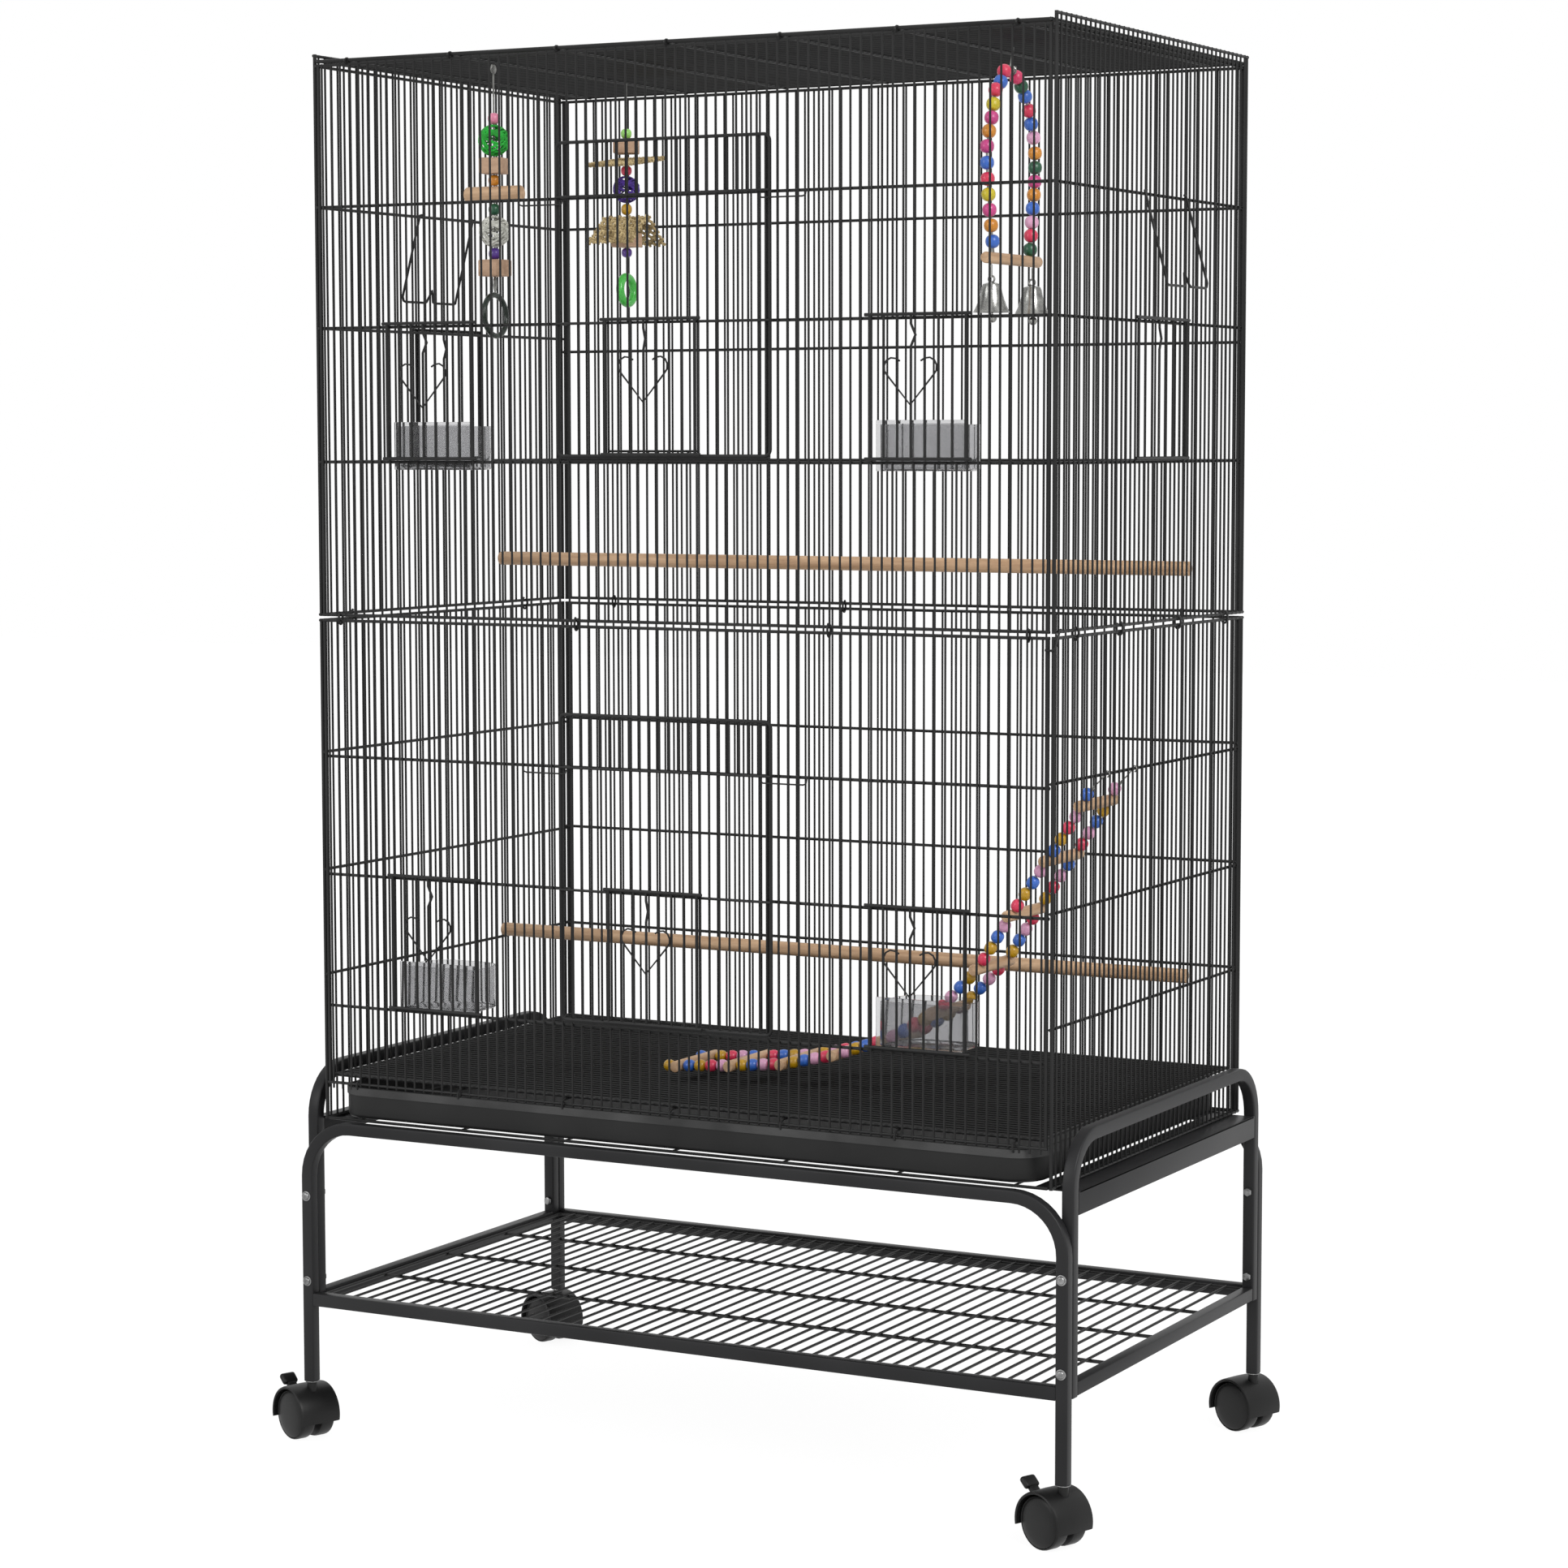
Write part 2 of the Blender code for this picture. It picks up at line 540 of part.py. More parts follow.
def build_stand(finish):
    half = TUBE / 2
    for name, side in (("front_frame", -1), ("back_frame", 1)):
        y = side * FRONT_LEG_Y
        path = [(x, y, z) for x, z in inverted_u(LEG_X, LEG_FOOT_Z, FRONT_BAR_Z, FRONT_BEND)]
        frame = add_object(name, bent_tube(name, path, (0, 1, 0)), finish)
        reach = LEG_X - half + JOIN_OVERLAP
        bar = ((-reach, y - half + FACE_STEP, SHELF_Z[0]), (reach, y + half - FACE_STEP, SHELF_Z[1]))
        tool = add_object(f"{name}_cross_bar", fused_boxes(name, [bar]), finish)
        combine(frame, tool, "UNION")
    for name, side in (("left_end_frame", -1), ("right_end_frame", 1)):
        x = side * LEG_X
        path = [(x, y, z) for y, z in inverted_u(END_LEG_Y, SHELF_Z[0] + 0.0005, END_BAR_Z, END_BEND)]
        frame = add_object(name, bent_tube(name, path, (1, 0, 0)), finish)
        reach = END_LEG_Y - half + JOIN_OVERLAP
        face = side * (LEG_X + half - FACE_STEP)
        inside = side * (LEG_X - half + FACE_STEP)
        boxes = [
            ((inside, -reach, SHELF_Z[0] + 0.0007), (face, reach, SHELF_Z[1] + 0.0005)),
            ((face, -reach, RAIL_Z[0]), (face - side * RAIL_ANGLE, reach, RAIL_Z[1])),
            ((face, -reach, RAIL_Z[1] - RAIL_ANGLE), (side * (LEG_X - half), reach, RAIL_Z[1])),
            ((face, WIRE - reach, RAIL_Z[1] - RAIL_ANGLE), (side * RAIL_INNER_X, reach - WIRE, RAIL_Z[1])),
        ]
        tool = add_object(f"{name}_rails", fused_boxes(name, boxes), finish)
        combine(frame, tool, "UNION")
    half_width = LEG_X - half - DOOR_GAP
    half_depth = FRONT_LEG_Y - half - DOOR_GAP
    wires = positions(-half_width, half_width, SHELF_WIRE_PITCH)
    rods = (-SHELF_ROD_Y, 0, SHELF_ROD_Y)
    shelf = grille((-half_width, half_width), (-half_depth, half_depth), wires, rods)
    boxes = [tuple((u, v, SHELF_Z[1] - 0.002 - depth) for u, depth, v in box) for box in shelf]
    add_object("shelf_grid", fused_boxes("shelf_grid", boxes), finish)


def drum(radius, low, high, segments=ROUND_SIDES):
    """A cylinder mesh about the Y axis, with a vertex at its lowest point."""
    bm = bmesh.new()
    bmesh.ops.create_cone(
        bm, cap_ends=True, segments=segments, radius1=radius, radius2=radius, depth=high - low,
        matrix=Matrix.Translation((0, (low + high) / 2, 0)) @ Matrix.Rotation(math.pi / 2, 4, "X"),
    )
    return mesh_of(bm, "drum")


def append_mesh(target, extra):
    """Adds a second mesh's faces to the first, as a separate shell."""
    bm = bmesh.new()
    bm.from_mesh(target)
    bm.from_mesh(extra)
    bm.to_mesh(target)
    bm.free()
    return target


def build_caster(name, x, y, finish, with_brake):
    """A swivelling twin-wheel caster. Its own +X points forwards and its axle lies along its own Y."""
    turn = Matrix.Translation((x, y, 0)) @ Matrix.Rotation(CASTER_TURN, 4, "Z")
    axle = Matrix.Translation((-CASTER_TRAIL, 0, WHEEL_RADIUS))

    def add(part, mesh, matrix, origin):
        mesh.transform(turn @ matrix)
        return add_object(part, mesh, finish, turn @ Vector(origin))

    stem_foot = (0, 0, 0)
    hood = add(f"{name}_hood", drum(HOOD_RADIUS, -HOOD_HALF_WIDTH, HOOD_HALF_WIDTH), axle, stem_foot)
    depth = HOOD_HALF_WIDTH + JOIN_OVERLAP - WHEEL_INNER + GAP
    for low in (WHEEL_INNER - GAP, -HOOD_HALF_WIDTH - JOIN_OVERLAP):
        pocket = drum(HOOD_POCKET, low, low + depth)
        combine(hood, add(f"{name}_pocket", pocket, axle, stem_foot), "DIFFERENCE")
    below = 2 * HOOD_RADIUS
    skirt = fused_boxes("skirt", [((-below, -below, -below), (below, below, HOOD_SKIRT_Z))])
    combine(hood, add(f"{name}_skirt_cut", skirt, Matrix(), stem_foot), "DIFFERENCE")
    bore = drum(AXLE_RADIUS + AXLE_CLEARANCE, -2 * WHEEL_INNER, 2 * WHEEL_INNER, 16)
    combine(hood, add(f"{name}_bore_cut", bore, axle, stem_foot), "DIFFERENCE")
    bm = bmesh.new()
    top = LEG_FOOT_Z - GAP
    bmesh.ops.create_cone(
        bm, cap_ends=True, segments=12, radius1=STEM_RADIUS, radius2=STEM_RADIUS, depth=STEM_LENGTH,
        matrix=Matrix.Translation((0, 0, top - STEM_LENGTH / 2)),
    )
    combine(hood, add(f"{name}_stem", mesh_of(bm, "stem"), Matrix(), stem_foot), "UNION")
    smooth(hood)

    wheels = drum(AXLE_RADIUS, -WHEEL_INNER - JOIN_OVERLAP, WHEEL_INNER + JOIN_OVERLAP, 12)
    hub = (-CASTER_TRAIL, 0, WHEEL_RADIUS)
    pair = add(f"{name}_wheels", wheels, axle, hub)
    for number, low in enumerate((WHEEL_INNER, -WHEEL_INNER - WHEEL_WIDTH)):
        tyre = drum(WHEEL_RADIUS, low, low + WHEEL_WIDTH)
        combine(pair, add(f"{name}_tyre_{number}", tyre, axle, hub), "UNION")
    smooth(pair)
    if with_brake:
        near, far = BRAKE_REACH
        size = (BRAKE_HALF_WIDTH, BRAKE_HALF_THICKNESS)
        tab = fused_boxes("tab", [((-far, -size[0], -size[1]), (-near, *size))])
        tilt = Matrix.Rotation(BRAKE_ANGLE, 4, "Y")
        pivot = axle @ tilt @ Vector((-BRAKE_PIVOT_RADIUS, 0, 0))
        add(f"{name}_brake", tab, axle @ tilt, pivot)


def build_casters(finish):
    for name, x, y, brake in (
        ("front_left_caster", -1, -1, True),
        ("front_right_caster", 1, -1, True),
        ("back_left_caster", -1, 1, False),
        ("back_right_caster", 1, 1, False),
    ):
        build_caster(name, x * LEG_X, y * FRONT_LEG_Y, finish, brake)


def rod(name, start, end, radius, segments=16):
    """A round rod between two points."""
    start, end = Vector(start), Vector(end)
    along = end - start
    turn = Vector((0, 0, 1)).rotation_difference(along.normalized()).to_matrix().to_4x4()
    bm = bmesh.new()
    bmesh.ops.create_cone(
        bm, cap_ends=True, segments=segments, radius1=radius, radius2=radius, depth=along.length,
        matrix=Matrix.Translation((start + end) / 2) @ turn,
    )
    return mesh_of(bm, name)


def cup(name, middle, bottom, finish):
    """A feeder cup: a flat front flange, and a hollow body with a round back."""
    front, back = CUP_FLANGE_Y[0] + JOIN_OVERLAP, CUP_FLANGE_Y[0] + CUP_DEPTH

    def outline(inset):
        half = CUP_HALF_WIDTH - CUP_FLANGE_LAP - inset
        rear = back - inset - CUP_ROUNDING
        points = [(middle - half, front + inset), (middle + half, front + inset)]
        for step in range(13):
            angle = math.pi * step / 12
            points.append((middle + half * math.cos(angle), rear + CUP_ROUNDING * math.sin(angle)))
        return points

    heights = (bottom, bottom + CUP_WALL, bottom + CUP_HEIGHT - CUP_FLANGE_LAP)
    mesh = vessel(name, outline(0), outline(CUP_WALL), *heights)
    body = add_object(name, mesh, finish, (middle, CUP_FLANGE_Y[0], bottom))
    low = (middle - CUP_HALF_WIDTH, CUP_FLANGE_Y[0], bottom - DOOR_GAP)
    high = (middle + CUP_HALF_WIDTH, CUP_FLANGE_Y[1], bottom + CUP_HEIGHT)
    combine(body, add_object(f"{name}_flange", fused_boxes(name, [(low, high)]), finish), "UNION")


def wire_loop(name, points, radius, finish, origin=(0, 0, 0), resolution=1):
    """A round wire through the given points."""
    curve = bpy.data.curves.new(name, "CURVE")
    curve.dimensions = "3D"
    curve.bevel_depth = radius
    curve.bevel_resolution = resolution
    curve.use_fill_caps = True
    spline = curve.splines.new("POLY")
    spline.points.add(len(points) - 1)
    for place, point in zip(spline.points, points):
        place.co = (*(Vector(point) - Vector(origin)), 1)
    obj = bpy.data.objects.new(name, curve)
    bpy.context.scene.collection.objects.link(obj)
    curve.materials.append(finish)
    obj.location = origin
    return obj


def build_fittings(look):
    reach = CAGE_WIDTH / 2 - POST_DEPTH - DOOR_GAP
    near, far = FEEDER_OPENING
    for tier, height in PERCH_HEIGHTS.items():
        ends = ((-reach, PERCH_Y, height), (reach, PERCH_Y, height))
        smooth(add_object(f"{tier}_perch", rod("perch", *ends, PERCH_RADIUS), look["beech"]))
        for side, middle in (("left", -(near + far) / 2), ("right", (near + far) / 2)):
            cup(f"{tier}_{side}_cup", middle, CUP_BOTTOMS[tier], look["cup_plastic"])
    for side, sign in (("left", -1), ("right", 1)):
        top_x, foot_x = (sign * (CAGE_WIDTH / 2 + proud) for proud in BAIL_PROUD)
        front, back = BAIL_Y
        bend = BAIL_PROUD[0]
        points = [
            (top_x, front, BAIL_TOP_Z),
            (foot_x, front, BAIL_FOOT_Z + bend),
            (foot_x, front + bend, BAIL_FOOT_Z),
            (foot_x, BAIL_NOTCH_Y - 3 * bend, BAIL_FOOT_Z),
            (foot_x - sign * bend, BAIL_NOTCH_Y, BAIL_FOOT_Z + 4 * bend),
            (foot_x, BAIL_NOTCH_Y + 3 * bend, BAIL_FOOT_Z),
            (foot_x, back - bend, BAIL_FOOT_Z),
            (foot_x, back, BAIL_FOOT_Z + bend),
            (top_x, back, BAIL_TOP_Z),
        ]
        hinge = (top_x, BAIL_NOTCH_Y, BAIL_TOP_Z)
        wire_loop(f"{side}_wire_bail", points, BAIL_WIRE, look["powder_coat"], hinge)


def lathe(name, profile, axis, segments=8):
    """A solid turned about a vertical axis from (radius, height) points, listed from the top down."""
    bm = bmesh.new()
    rings = []
    for radius, height in profile:
        if radius == 0:
            rings.append([bm.verts.new((*axis, height))])
            continue
        ring = []
        for step in range(segments):
            angle = 2 * math.pi * step / segments
            x, y = radius * math.cos(angle), radius * math.sin(angle)
            ring.append(bm.verts.new((axis[0] + x, axis[1] + y, height)))
        rings.append(ring)
    for first, second in zip(rings, rings[1:]):
        for step in range(segments):
            following = (step + 1) % segments
            places = ((first, step), (second, step), (second, following), (first, following))
            corners = [ring[place % len(ring)] for ring, place in places]
            bm.faces.new(dict.fromkeys(corners))
    return mesh_of(bm, name)


def strung(top, pieces):
    """The profile of beads and blocks on a wire: each piece is (shape, length, radius)."""
    wire = STRING_WIRE
    profile = [(0, top), (wire, top)]
    height = top
    for shape, length, radius in pieces:
        if shape == "ball":
            rows = [(radius * math.sin(math.pi * step / 4), length * step / 4) for step in range(5)]
        elif shape == "block":
            rows = [(0, 0), (radius, 0), (radius, length), (0, length)]
        else:
            rows = [(0, length)]
        profile += [(max(reach, wire), height - drop) for reach, drop in rows]
        height -= length
    profile += [(wire, height), (0, height)]
    cleaned = [profile[0]]
    for point in profile[1:]:
        if point != cleaned[-1]:
            cleaned.append(point)
    return cleaned, height


def ring_mesh(name, centre, major, minor, normal):
    """A torus about the given normal."""
    turn = Vector((0, 0, 1)).rotation_difference(Vector(normal)).to_matrix().to_4x4()
    bm = bmesh.new()
    rings = []
    for step in range(16):
        spin = 2 * math.pi * step / 16
        out = Vector((math.cos(spin), math.sin(spin), 0))
        ring = []
        for side in range(6):
            around = 2 * math.pi * side / 6
            offset = out * (major + minor * math.cos(around))
            offset.z = minor * math.sin(around)
            ring.append(bm.verts.new(Vector(centre) + turn @ offset))
        rings.append(ring)
    for step in range(16):
        first, second = rings[step], rings[(step + 1) % 16]
        for side in range(6):
            other = (side + 1) % 6
            bm.faces.new((first[side], second[side], second[other], first[other]))
    return mesh_of(bm, name)


def build_hanging_toys(look):
    top = ROOF_UNDERSIDE - DOOR_GAP
    for name, axis, pieces in (("toy_a_string", TOY_A_AXIS, TOY_A), ("toy_b_string", TOY_B_AXIS, TOY_B)):
        profile, foot = strung(top, pieces)
        string = add_object(name, lathe(name, profile, axis), look["bead"], (*axis, top))
        smooth(string)
        if name == "toy_a_string":
            reach, drop, radius = CROSS_DOWEL
            ends = [(axis[0] + side * reach, axis[1], top - drop) for side in (-1, 1)]
            cross = add_object("toy_a_cross_dowel", rod("cross", *ends, radius, 10), look["beech"])
            combine(string, cross, "UNION")
            hanging_ring("toy_a_ring", axis, foot, top, RING_A, look["ring"])
        else:
            width, depth, thick = MAT_HALF_SIZE
            middle = top - MAT_DROP
            low = (axis[0] - width, axis[1] - depth, middle - thick)
            high = (axis[0] + width, axis[1] + depth, middle + thick)
            mat = add_object("toy_b_mat", fused_boxes("mat", [(low, high)]), look["seagrass"])
            combine(string, mat, "UNION")
            hanging_ring("toy_b_ring", axis, foot, top, RING_B, look["ring"])
            build_tent(axis, top - TENT_RIDGE_DROP, top, look["seagrass"])


def hanging_ring(name, axis, foot, top, sizes, finish):
    drop, major, minor = sizes
    ring = ring_mesh(name, (*axis, foot - drop), major, minor, RING_FACING)
    smooth(add_object(name, ring, finish, (*axis, top)))


def build_tent(axis, ridge, top, finish):
    """A woven mat folded into a tent round the string, with a hole for the string at its ridge."""
    bm = bmesh.new()
    half, rise, depth = TENT_SIZE
    thick = TENT_THICKNESS
    inner = half - 2 * thick / 3
    outline = [
        (0, ridge),
        (half, ridge - rise),
        (inner, ridge - rise - thick),
        (0, ridge - thick * 1.2),
        (-inner, ridge - rise - thick),
        (-half, ridge - rise),
    ]
    rings = [[bm.verts.new((axis[0] + x, axis[1] + y, z)) for y, z in outline] for x in (depth, -depth)]
    for step in range(len(outline)):
        following = (step + 1) % len(outline)
        bm.faces.new((rings[0][step], rings[0][following], rings[1][following], rings[1][step]))
    bm.faces.new(rings[0][::-1])
    bm.faces.new(rings[1])
    tent = add_object("toy_b_tent", mesh_of(bm, "tent"), finish, (*axis, top))
    ends = ((*axis, ridge + thick), (*axis, ridge - rise))
    hole = add_object("toy_b_tent_hole", rod("hole", *ends, 1.5 * STRING_WIRE, 8), finish)
    combine(tent, hole, "DIFFERENCE")


def build_swing(look):
    """A bead swing: an arch of beads over a dowel, with a bell below each end."""
    x, y = SWING_AXIS
    hook = (x, y, ROOF_UNDERSIDE)
    arch = smooth_path([(x, y + across, height) for across, height in SWING_PATH], SWING_STEPS)
    wire_loop("swing_arch", arch, SWING_BEAD, look["bead"], hook)
    ends = ((x, y - SWING_BAR_REACH, SWING_BAR_Z), (x, y + SWING_BAR_REACH, SWING_BAR_Z))
    bar = add_object("swing_perch", rod("bar", *ends, SWING_DOWEL, 12), look["beech"], hook)
    smooth(bar)
    for name, side in (("front", -1), ("back", 1)):
        place = (x, y + side * BELL_SPACING)
        crown = SWING_BAR_Z - BELL_DROP
        stem = crown + BELL_STEM
        profile = [(0, stem), (STRING_WIRE, stem), (STRING_WIRE, crown)]
        profile += [(radius, crown - drop) for radius, drop in BELL_PROFILE]
        profile.append((0, crown - BELL_PROFILE[-1][1]))
        mesh = lathe("bell", profile, place, 12)
        smooth(add_object(f"{name}_bell", mesh, look["bell"], (*place, SWING_BAR_Z)))


def smooth_path(points, count):
    """Evenly counted points along a smooth curve through the given ones."""
    points = [Vector(point) for point in points]
    padded = [2 * points[0] - points[1], *points, 2 * points[-1] - points[-2]]
    result = []
    for step in range(count):
        place = (len(points) - 1) * step / (count - 1)
        index = min(int(place), len(points) - 2)
        t = place - index
        a, b, c, d = padded[index:index + 4]
        bend = 2 * a - 5 * b + 4 * c - d
        twist = 3 * b - 3 * c + d - a
        result.append(b + (c - a) * t / 2 + bend * t ** 2 / 2 + twist * t ** 3 / 2)
    return result


def build_ladder(look):
    """A bead ladder that hooks on the right wall and sweeps down over the floor grate."""
    path = smooth_path([(x, 0, z) for x, z in LADDER_PATH], LADDER_STEPS)
    sides = []
    for side in (-1, 1):
        line = [point + Vector((0, LADDER_Y + side * LADDER_HALF_WIDTH, 0)) for point in path]
        tube = sweep_round("ladder_side", line, LADDER_BEAD_RADIUS, 6)
        sides.append(tube)
    ladder = add_object("bead_ladder", sides[0], look["bead"])
    extra = sides[1]
    for x, z in LADDER_PATH[1:-1]:
        ends = [(x, LADDER_Y + side * LADDER_RUNG_REACH, z) for side in (-1, 1)]
        append_mesh(extra, rod("rung", *ends, LADDER_RUNG_RADIUS, 8))
    combine(ladder, add_object("bead_ladder_rungs", extra, look["beech"]), "UNION")


def sweep_round(name, path, radius, sides):
    """A round tube along a path that stays in a plane of constant Y."""
    bm = bmesh.new()
    rings = []
    for index, point in enumerate(path):
        ahead = path[min(index + 1, len(path) - 1)]
        behind = path[max(index - 1, 0)]
        across = (ahead - behind).normalized().cross(Vector((0, 1, 0)))
        ring = []
        for step in range(sides):
            angle = 2 * math.pi * step / sides
            outward = across * math.cos(angle) + Vector((0, math.sin(angle), 0))
            ring.append(bm.verts.new(point + radius * outward))
        rings.append(ring)
    for first, second in zip(rings, rings[1:]):
        for step in range(sides):
            following = (step + 1) % sides
            bm.faces.new((first[step], first[following], second[following], second[step]))
    bm.faces.new(rings[0])
    bm.faces.new(rings[-1][::-1])
    return mesh_of(bm, name)


def main():
    clear_scene()
    look = finishes()
    build_stand(look["powder_coat"])
    build_casters(look["caster_plastic"])
    build_walls(look["powder_coat"])
    build_floor(look["powder_coat"], look["tray_plastic"])
    build_doors(look["powder_coat"])
    build_fittings(look)
    build_hanging_toys(look)
    build_swing(look)
    build_ladder(look)
    for obj in bpy.data.objects:
        if obj.parent is None:
            obj.location += Vector(STAND_OFFSET)


main()
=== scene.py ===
# %% [markdown]
# This lesson builds the looks of a two-tier bird cage on its rolling stand.
# The exact solid model is loaded first and stays as the frame. Each step below
# then makes one kind of real piece, such as wire, tube or bead, and lets it ride on
# the solid that it stands for.

# %% Load the frame
import math

import bmesh
import bpy
from mathutils import Matrix, Vector


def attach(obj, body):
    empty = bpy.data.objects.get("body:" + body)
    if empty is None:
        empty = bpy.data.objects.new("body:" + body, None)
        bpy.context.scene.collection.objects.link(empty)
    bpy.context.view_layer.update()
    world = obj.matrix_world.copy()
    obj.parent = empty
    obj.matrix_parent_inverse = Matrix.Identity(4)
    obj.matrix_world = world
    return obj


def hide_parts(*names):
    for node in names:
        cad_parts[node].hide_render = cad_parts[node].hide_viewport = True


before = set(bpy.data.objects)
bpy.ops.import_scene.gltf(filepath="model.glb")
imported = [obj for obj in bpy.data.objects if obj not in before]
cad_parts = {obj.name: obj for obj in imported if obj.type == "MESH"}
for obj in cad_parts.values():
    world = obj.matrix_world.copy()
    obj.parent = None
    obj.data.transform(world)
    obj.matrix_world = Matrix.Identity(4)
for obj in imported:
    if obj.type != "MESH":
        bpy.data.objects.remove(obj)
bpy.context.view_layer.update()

# %% [markdown]
# The cage's own middle is a little off the world's middle, because the casters trail to one
# side. Every measure below is taken from the cage's middle, and one shift puts it in place.
# The camera stands to the right of the cage, a little above its middle, with a long lens, so
# that the upright wires stay almost parallel.

# %% Place and camera
CAGE_CENTRE = Vector((0.0137, -0.0046, 0.0))
CAMERA_PLACE = Vector((1.7793, -3.3157, 0.9965))
CAMERA_YAW, CAMERA_PITCH, CAMERA_ROLL = 28.21, 5.14, -0.085

camera = bpy.data.objects.new("studio_camera", bpy.data.cameras.new("studio_camera"))
bpy.context.scene.collection.objects.link(camera)
camera.data.sensor_width = 36.0
camera.data.lens = 87.46
camera.data.clip_end = 50.0
camera.matrix_world = (
    Matrix.Translation(CAMERA_PLACE + CAGE_CENTRE)
    @ Matrix.Rotation(math.radians(CAMERA_YAW), 4, "Z")
    @ Matrix.Rotation(math.radians(90 - CAMERA_PITCH), 4, "X")
    @ Matrix.Rotation(math.radians(CAMERA_ROLL), 4, "Z")
)
bpy.context.scene.camera = camera
print("camera at", [round(value, 3) for value in camera.matrix_world.translation])

# %% [markdown]
# Colours are written as the hex values that a paint chart gives. Blender mixes light in linear
# values, so one function turns a hex value to linear. A second small function adds a node with
# its settings and links, which keeps each finish short enough to read.

# %% Colour and node helpers
def linear(hex_colour):
    """A hex colour as the linear values that a shader takes."""
    shares = [int(hex_colour[place:place + 2], 16) / 255 for place in (1, 3, 5)]
    values = [share / 12.92 if share <= 0.04045 else ((share + 0.055) / 1.055) ** 2.4 for share in shares]
    return values + [1.0]


def add_node(tree, kind, links=None, **settings):
    """Adds a node. A link is {socket: value}, or {socket: (other node, its output)}."""
    node = tree.nodes.new(kind)
    for key, value in settings.items():
        setattr(node, key, value)
    for socket, value in (links or {}).items():
        if isinstance(value, tuple) and hasattr(value[0], "outputs"):
            tree.links.new(value[0].outputs[value[1]], node.inputs[socket])
        else:
            node.inputs[socket].default_value = value
    return node


def begin_finish(name, stretch=(1, 1, 1), turn=(0, 0, 0)):
    """A new material with its shader, and object coordinates stretched or turned for its pattern."""
    made = bpy.data.materials.new(name)
    made.use_nodes = True
    tree = made.node_tree
    shader = tree.nodes["Principled BSDF"]
    place = add_node(tree, "ShaderNodeTexCoord")
    settings = {"Vector": (place, "Object"), "Scale": stretch, "Rotation": turn}
    mapped = add_node(tree, "ShaderNodeMapping", settings)
    return made, tree, shader, mapped


def grain(tree, mapped, size_mm, detail=3.0, rough=0.5):
    """A noise whose patches are about this many millimetres across."""
    links = {"Vector": (mapped, 0), "Scale": 1000 / size_mm / 2, "Detail": detail, "Roughness": rough}
    return add_node(tree, "ShaderNodeTexNoise", links)


def tint(tree, source, colours, span=(0.3, 0.7)):
    """A colour ramp over a pattern, from the first colour to the last."""
    ramp = add_node(tree, "ShaderNodeValToRGB", {"Fac": source})
    ramp.color_ramp.elements[0].position, ramp.color_ramp.elements[1].position = span
    ramp.color_ramp.elements[0].color = linear(colours[0])
    ramp.color_ramp.elements[1].color = linear(colours[-1])
    return ramp


def relief(tree, shader, source, depth_mm, strength=0.6):
    """Bumps of this depth in millimetres, from a pattern."""
    links = {"Height": source, "Distance": depth_mm / 1000, "Strength": strength}
    bump = add_node(tree, "ShaderNodeBump", links)
    tree.links.new(bump.outputs["Normal"], shader.inputs["Normal"])


def sheen_range(tree, shader, source, low, high):
    """Roughness that wanders between two values with a pattern."""
    ranged = add_node(tree, "ShaderNodeMapRange", {"Value": source, "To Min": low, "To Max": high})
    tree.links.new(ranged.outputs["Result"], shader.inputs["Roughness"])


print("helpers ready")

# %% [markdown]
# The cage and stand are steel with a black powder coat. Dry powder is baked on, and it levels
# into a skin with a faint orange-peel dimple about a millimetre across and a soft gloss. The
# black is warm and never quite even, so a slow noise moves it between two near blacks.

# %% Powder-coated steel
def powder_coat(name, colours, roughness):
    made, tree, shader, mapped = begin_finish(name)
    slow = grain(tree, mapped, 60, 2.0)
    peel = grain(tree, mapped, 1.2, 1.0)
    colour = tint(tree, (slow, "Fac"), colours)
    tree.links.new(colour.outputs["Color"], shader.inputs["Base Color"])
    sheen_range(tree, shader, (slow, "Fac"), roughness - 0.05, roughness + 0.08)
    relief(tree, shader, (peel, "Fac"), 0.05, 0.35)
    shader.inputs["IOR"].default_value = 1.38
    shader.inputs["Specular IOR Level"].default_value = 0.3
    return made


coated_wire = powder_coat("powder_coated_wire", ("#141414", "#1e1e1e"), 0.44)
coated_tube = powder_coat("powder_coated_tube", ("#161617", "#202021"), 0.42)
print("made", coated_wire.name, coated_tube.name)

# %% [markdown]
# The tray is moulded plastic with a leather-like pebble of about 1.5 mm on its rim, and the
# casters are moulded nylon, smoother and blacker. A cell pattern gives the pebble its small
# round bumps, and the nylon only needs a fine grain that breaks up its highlight.

# %% Moulded plastics
def moulded_plastic(name, colours, roughness, pebble_mm, depth_mm):
    made, tree, shader, mapped = begin_finish(name)
    slow = grain(tree, mapped, 25, 2.0)
    pebble = add_node(
        tree, "ShaderNodeTexVoronoi", {"Vector": (mapped, 0), "Scale": 1000 / pebble_mm}, feature="SMOOTH_F1"
    )
    colour = tint(tree, (slow, "Fac"), colours)
    tree.links.new(colour.outputs["Color"], shader.inputs["Base Color"])
    sheen_range(tree, shader, (slow, "Fac"), roughness - 0.06, roughness + 0.06)
    relief(tree, shader, (pebble, "Distance"), depth_mm, 0.5)
    shader.inputs["IOR"].default_value = 1.42
    shader.inputs["Specular IOR Level"].default_value = 0.3
    return made


tray_plastic = moulded_plastic("moulded_tray_polystyrene", ("#121212", "#191919"), 0.50, 2.5, 0.08)
tray_rim_plastic = moulded_plastic("pebbled_tray_rim", ("#262626", "#3c3c3c"), 0.62, 1.5, 0.35)
caster_plastic = moulded_plastic("moulded_caster_nylon", ("#0e0e0e", "#151515"), 0.42, 1.0, 0.03)
print("made", tray_plastic.name, tray_rim_plastic.name, caster_plastic.name)

